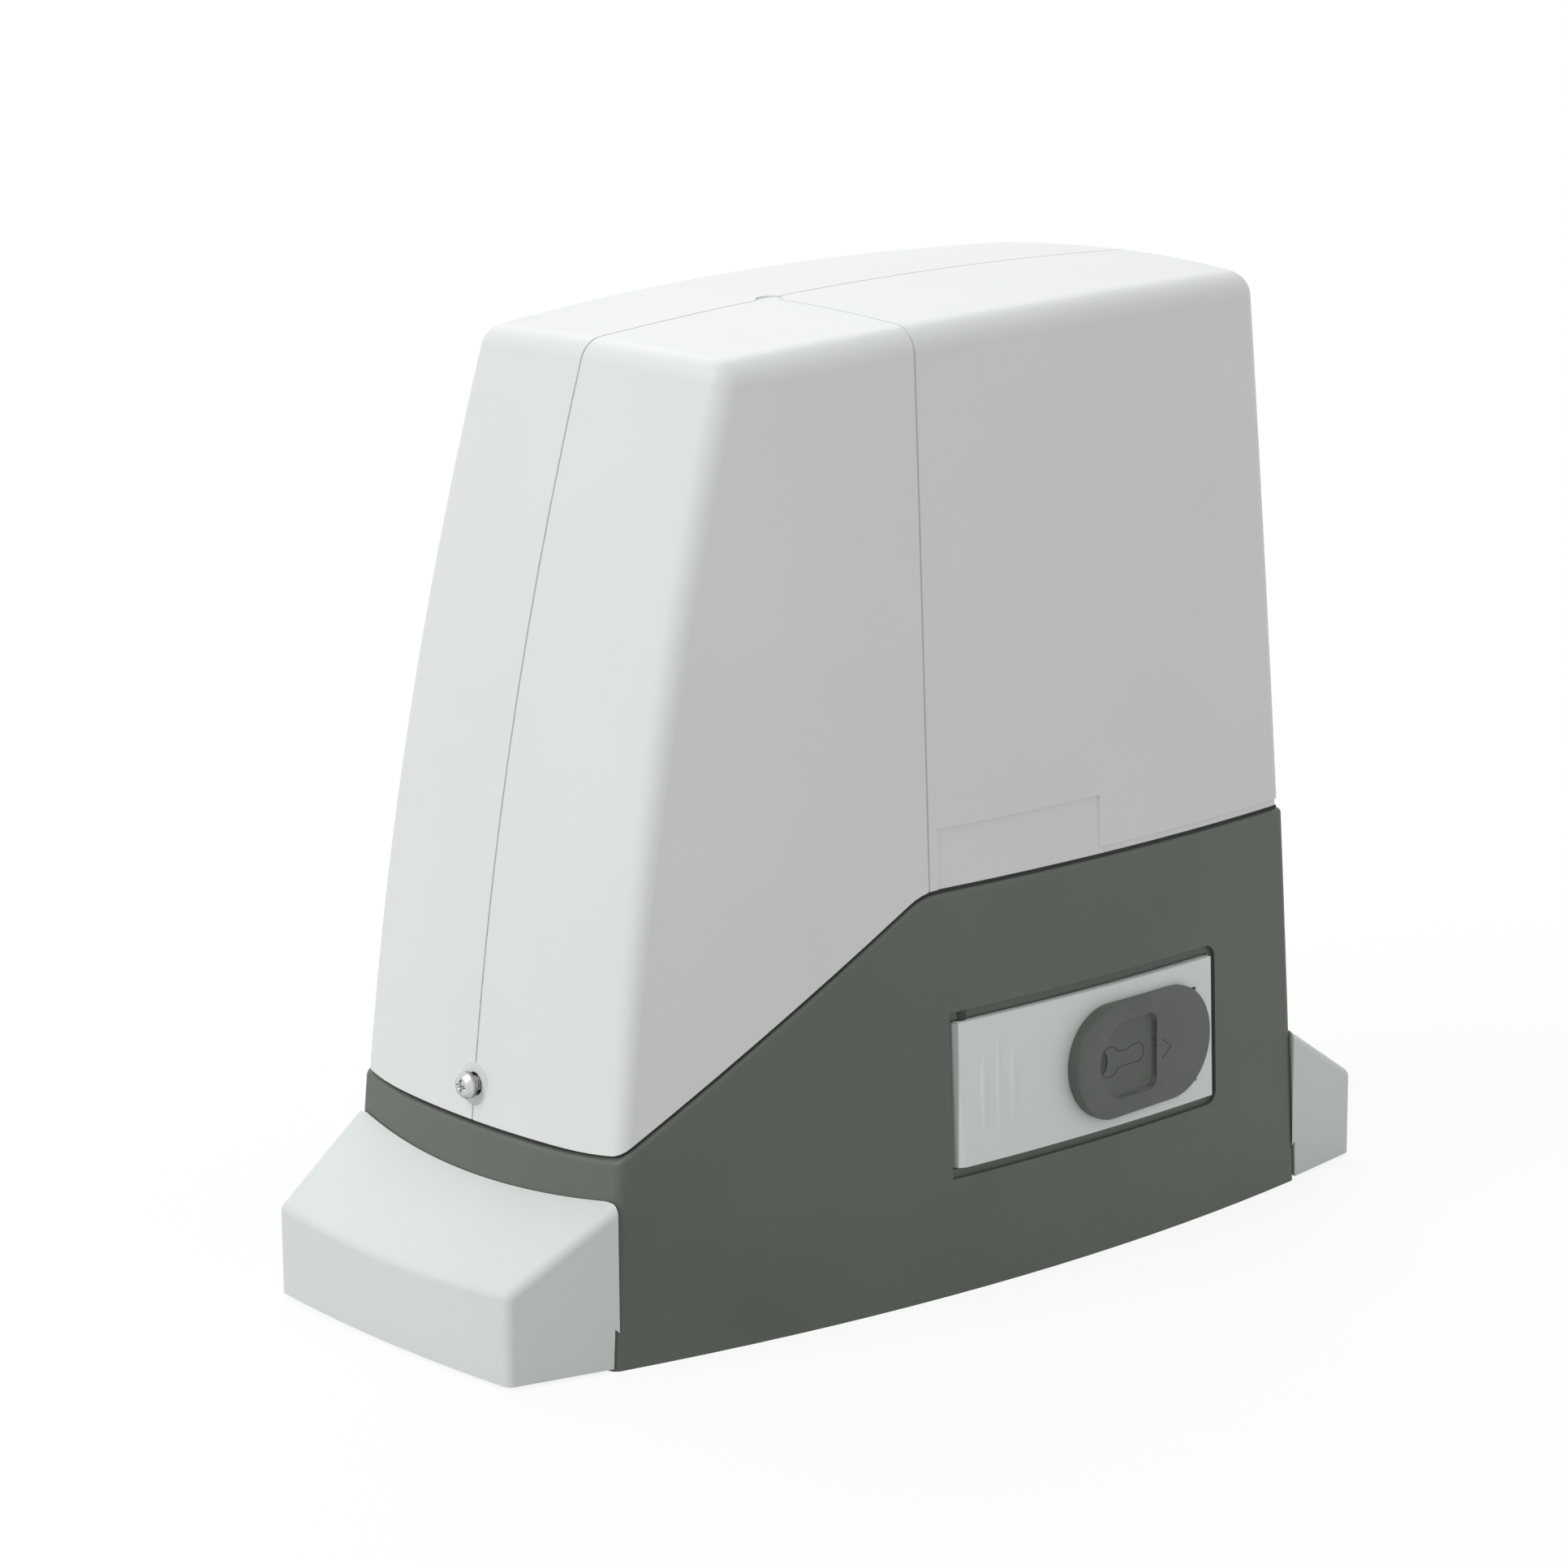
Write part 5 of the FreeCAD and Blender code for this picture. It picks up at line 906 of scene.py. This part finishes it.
# %% Can and blades
can_low, can_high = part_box("capacitor")
can_mid = (can_low + can_high) / 2
can_radius = (can_high.x - can_low.x) / 2
can_long = can_high.z - can_low.z
profile = [(0, 0), (can_radius - 0.0012, 0), (can_radius - 0.0004, 0.0004), (can_radius, 0.0014),
           (can_radius, can_long - 0.0062), (can_radius - 0.0006, can_long - 0.0056),
           (can_radius - 0.0006, can_long - 0.0050), (can_radius, can_long - 0.0044),
           (can_radius, can_long - 0.0030), (can_radius - 0.0008, can_long - 0.0022),
           (can_radius - 0.0026, can_long - 0.0022), (can_radius - 0.0030, can_long - 0.0040),
           (0.0030, can_long - 0.0040), (0.0026, can_long - 0.0046), (0, can_long - 0.0046)]
can = turned_part("run_can", profile, (can_mid.x, can_mid.y, can_low.z), (0, 0, 1), white, 56)
blade_half, blade_thin, blade_high = 0.0032, 0.0004, 0.0060
blades = [moulded_block("blade", (can_mid.x - blade_half, y - blade_thin,
                                  can_high.z - blade_high),
                        (can_mid.x + blade_half, y + blade_thin, can_high.z), zinc, 0.0002)
          for y in (can_mid.y - 0.0065, can_mid.y + 0.0065)]
settle(join("run_capacitor", [can, *blades]), "base", replaces=["capacitor"])
print("motor capacitor made")

# %% [markdown]
# ## The pit in the lock cover
# A small oval pit in the finger dish gives the thumb a hold. A hollow is made by taking a solid
# away: the Boolean modifier cuts a flattened ball out of a merged copy of the cover, which then
# replaces the CAD node.

# %% Cut the pit
pit = Vector((0.0389, -0.0736, 0.0578))
pit_size = (0.0017, 0.0014, 0.0031)
lock_shell = mesh_piece("lock_shell", copy_of("lock_cover"), lock_dark_and_painted_lit_end)
ball = bmesh.new()
bmesh.ops.create_uvsphere(ball, u_segments=32, v_segments=20, radius=1.0)
for vert in ball.verts:
    vert.co = pit + Vector(v * s for v, s in zip(vert.co, pit_size))
cutter = mesh_piece("pit_cutter", ball, lock_dark_and_painted_lit_end)
cut = lock_shell.modifiers.new("pit", "BOOLEAN")
cut.operation = "DIFFERENCE"
cut.solver = "EXACT"
cut.object = cutter
dimpled = add_object("dimpled_lock_cover", plain_mesh(lock_shell))
bpy.data.objects.remove(lock_shell)
bpy.data.objects.remove(cutter)
settle(soften(dimpled), "lock_cover", replaces=["lock_cover"])
print("lock cover", len(dimpled.data.polygons), "faces")

# %% [markdown]
# ## Marks on the lock cover
# A plain key outline and an arrow tell which way the cover slides. On the real cover they are fine
# grooves; here each is a hair-thin line of painted shade, for the shade inside the groove, swept
# along a flat path and laid on the sloping face, where a ray from the front meets it.


# %% Helper: a line drawn on the lock cover
def front_of(piece, x, z, reach=0.2):
    """The y of a piece's face at a place, found by looking at it from the front."""
    hit, spot, _, _ = piece.ray_cast(Vector((x, -reach, z)), Vector((0, 1, 0)))
    assert hit, (x, z)
    return spot.y


def drawn_line(name, points, material, closed=False, thick=0.00013):
    """A thin tube through (x, z) points on the lock cover's face."""
    curve = bpy.data.curves.new(name, "CURVE")
    curve.dimensions = "3D"
    spline = curve.splines.new("POLY")
    spline.points.add(len(points) - 1)
    for point, (x, z) in zip(spline.points, points):
        point.co = (x, front_of(dimpled, x, z), z, 1)
    spline.use_cyclic_u = closed
    curve.bevel_depth = thick
    curve.bevel_resolution = 2
    curve.use_fill_caps = True
    holder = add_object(name + "_path", curve)
    piece = add_object(name, plain_mesh(holder))
    bpy.data.objects.remove(holder)
    piece.data.materials.clear()
    piece.data.materials.append(material)
    return piece


print("line helper ready")

# %% Lay the key and the arrow on the cover
key_x, key_z = 0.0417, 0.0575
bow = 0.0045
bow_ring = [(key_x + bow * math.cos(a), key_z + bow * math.sin(a))
            for a in [math.radians(d) for d in range(33, 328, 7)]]
shaft_end = key_x + 0.0138
outline = [(-0.0010, -0.0025), (0, -0.0024), (0.0013, -0.0012), (0.0015, 0.0008),
           (0.0008, 0.0026), (-0.0002, 0.0031), (-0.0042, 0.0031), (-0.0054, 0.0022),
           (-0.0072, 0.0022)]
bits = [(shaft_end + x, key_z + z) for x, z in outline]
arrow = [(0.0642, 0.0601), (0.0686, 0.0569), (0.0645, 0.0541)]
# Both marks are painted shade: near-black lines for the shade in the grooves.
marks = [drawn_line("key_outline", bow_ring + bits, painted_groove_shade, True),
         drawn_line("slide_arrow", arrow, painted_groove_shade)]
for piece in marks:
    settle(piece, "lock_cover", smooth=True)
print("marks made:", [m.name for m in marks])

# %% [markdown]
# ## The floor
# The floor is plain and near white. More light would whiten it too, but would also bleach the
# object; so only rays from the camera and from gloss see it glow, mixed with its own shaded
# colour, which keeps the object's shadow on it.


# %% Helper: what only the camera and gloss see
def seen_share(nodes, links):
    """A socket that is 1 for camera and glossy rays and 0 for the others."""
    ray = nodes.new("ShaderNodeLightPath")
    seen = nodes.new("ShaderNodeMath")
    seen.operation = "MAXIMUM"
    links.new(ray.outputs["Is Camera Ray"], seen.inputs[0])
    links.new(ray.outputs["Is Glossy Ray"], seen.inputs[1])
    return seen.outputs[0]


print("ray helper ready")

# %% Lay the floor
reach = 6.0
plane = bpy.data.meshes.new("floor")
plane.from_pydata([(-reach, -reach, 0), (reach, -reach, 0), (reach, reach, 0), (-reach, reach, 0)],
                  [], [(0, 1, 2, 3)])
floor = add_object("floor", plane)
paper = bpy.data.materials.new("studio_paper")
paper.use_nodes = True
paper_nodes, paper_links = paper.node_tree.nodes, paper.node_tree.links
paper_shader = paper_nodes["Principled BSDF"]
paper_shader.inputs["Base Color"].default_value = (0.62, 0.62, 0.62, 1)
paper_shader.inputs["Roughness"].default_value = 0.9
paper_shader.inputs["Specular IOR Level"].default_value = 0.0
glow = paper_nodes.new("ShaderNodeEmission")
glow.inputs["Strength"].default_value = 1.09
share = paper_nodes.new("ShaderNodeMath")
share.operation = "MULTIPLY"
share.inputs[1].default_value = 0.80
paper_links.new(seen_share(paper_nodes, paper_links), share.inputs[0])
blend_paper = paper_nodes.new("ShaderNodeMixShader")
paper_links.new(share.outputs[0], blend_paper.inputs["Fac"])
paper_links.new(paper_shader.outputs[0], blend_paper.inputs[1])
paper_links.new(glow.outputs[0], blend_paper.inputs[2])
paper_links.new(blend_paper.outputs[0], paper_nodes["Material Output"].inputs["Surface"])
plane.materials.append(paper)
print("floor laid,", 2 * reach, "m wide")

# %% [markdown]
# ## Light
# One soft lamp stands to the left and one behind, and the world fills the shadows: the top is
# brightest, the end wall next, and the long side, which neither lamp reaches, is an even tone. A
# wide sun gives soft edges and the same light at any distance. Glossy rays see a white room.

# %% World and lamps
world = bpy.data.worlds.new("studio")
bpy.context.scene.world = world
world.use_nodes = True
sky_nodes, sky_links = world.node_tree.nodes, world.node_tree.links
sky = sky_nodes["Background"]
sky.inputs["Color"].default_value = (1, 1, 1, 1)
sky_level = sky_nodes.new("ShaderNodeMapRange")
sky_level.inputs["To Min"].default_value = 0.60
sky_level.inputs["To Max"].default_value = 1.0
sky_links.new(seen_share(sky_nodes, sky_links), sky_level.inputs["Value"])
sky_links.new(sky_level.outputs["Result"], sky.inputs["Strength"])


def lamp(name, towards, strength, spread):
    """A sun that shines from the direction 'towards'."""
    light = bpy.data.lights.new(name, "SUN")
    light.energy = strength
    light.angle = math.radians(spread)
    holder = add_object(name, light)
    holder.rotation_euler = Vector(towards).to_track_quat("Z", "Y").to_euler()


lamp_spread = 40
lamp("left_lamp", (-0.74, 0.10, 0.66), 1.30, lamp_spread)
lamp("back_lamp", (0.35, 0.62, 0.70), 0.68, lamp_spread)
print("lamps", [light.name for light in bpy.data.lights])

# %% [markdown]
# ## Camera
# The camera stands at the front left corner, a little above the hood, and looks down on it. Its
# place is turned into one matrix: first the turn about the upright, then the tilt, then a slight
# roll. The Standard view shows colours as they are written.

# %% Set the camera
eye = Vector((-0.92141, -1.07208, 0.45844))
turn, tilt, roll = math.radians(40.06), math.radians(12.91), math.radians(-0.378)
camera_data = bpy.data.cameras.new("camera")
camera_data.sensor_width = 36.0
camera_data.lens = 113.607
camera = add_object("camera", camera_data)
camera.matrix_world = (Matrix.Translation(eye) @ Matrix.Rotation(-turn, 4, "Z")
                       @ Matrix.Rotation(math.pi / 2 - tilt, 4, "X")
                       @ Matrix.Rotation(roll, 4, "Z"))
bpy.context.scene.camera = camera
bpy.context.scene.view_settings.view_transform = "Standard"
print("camera at", [round(v, 3) for v in eye])
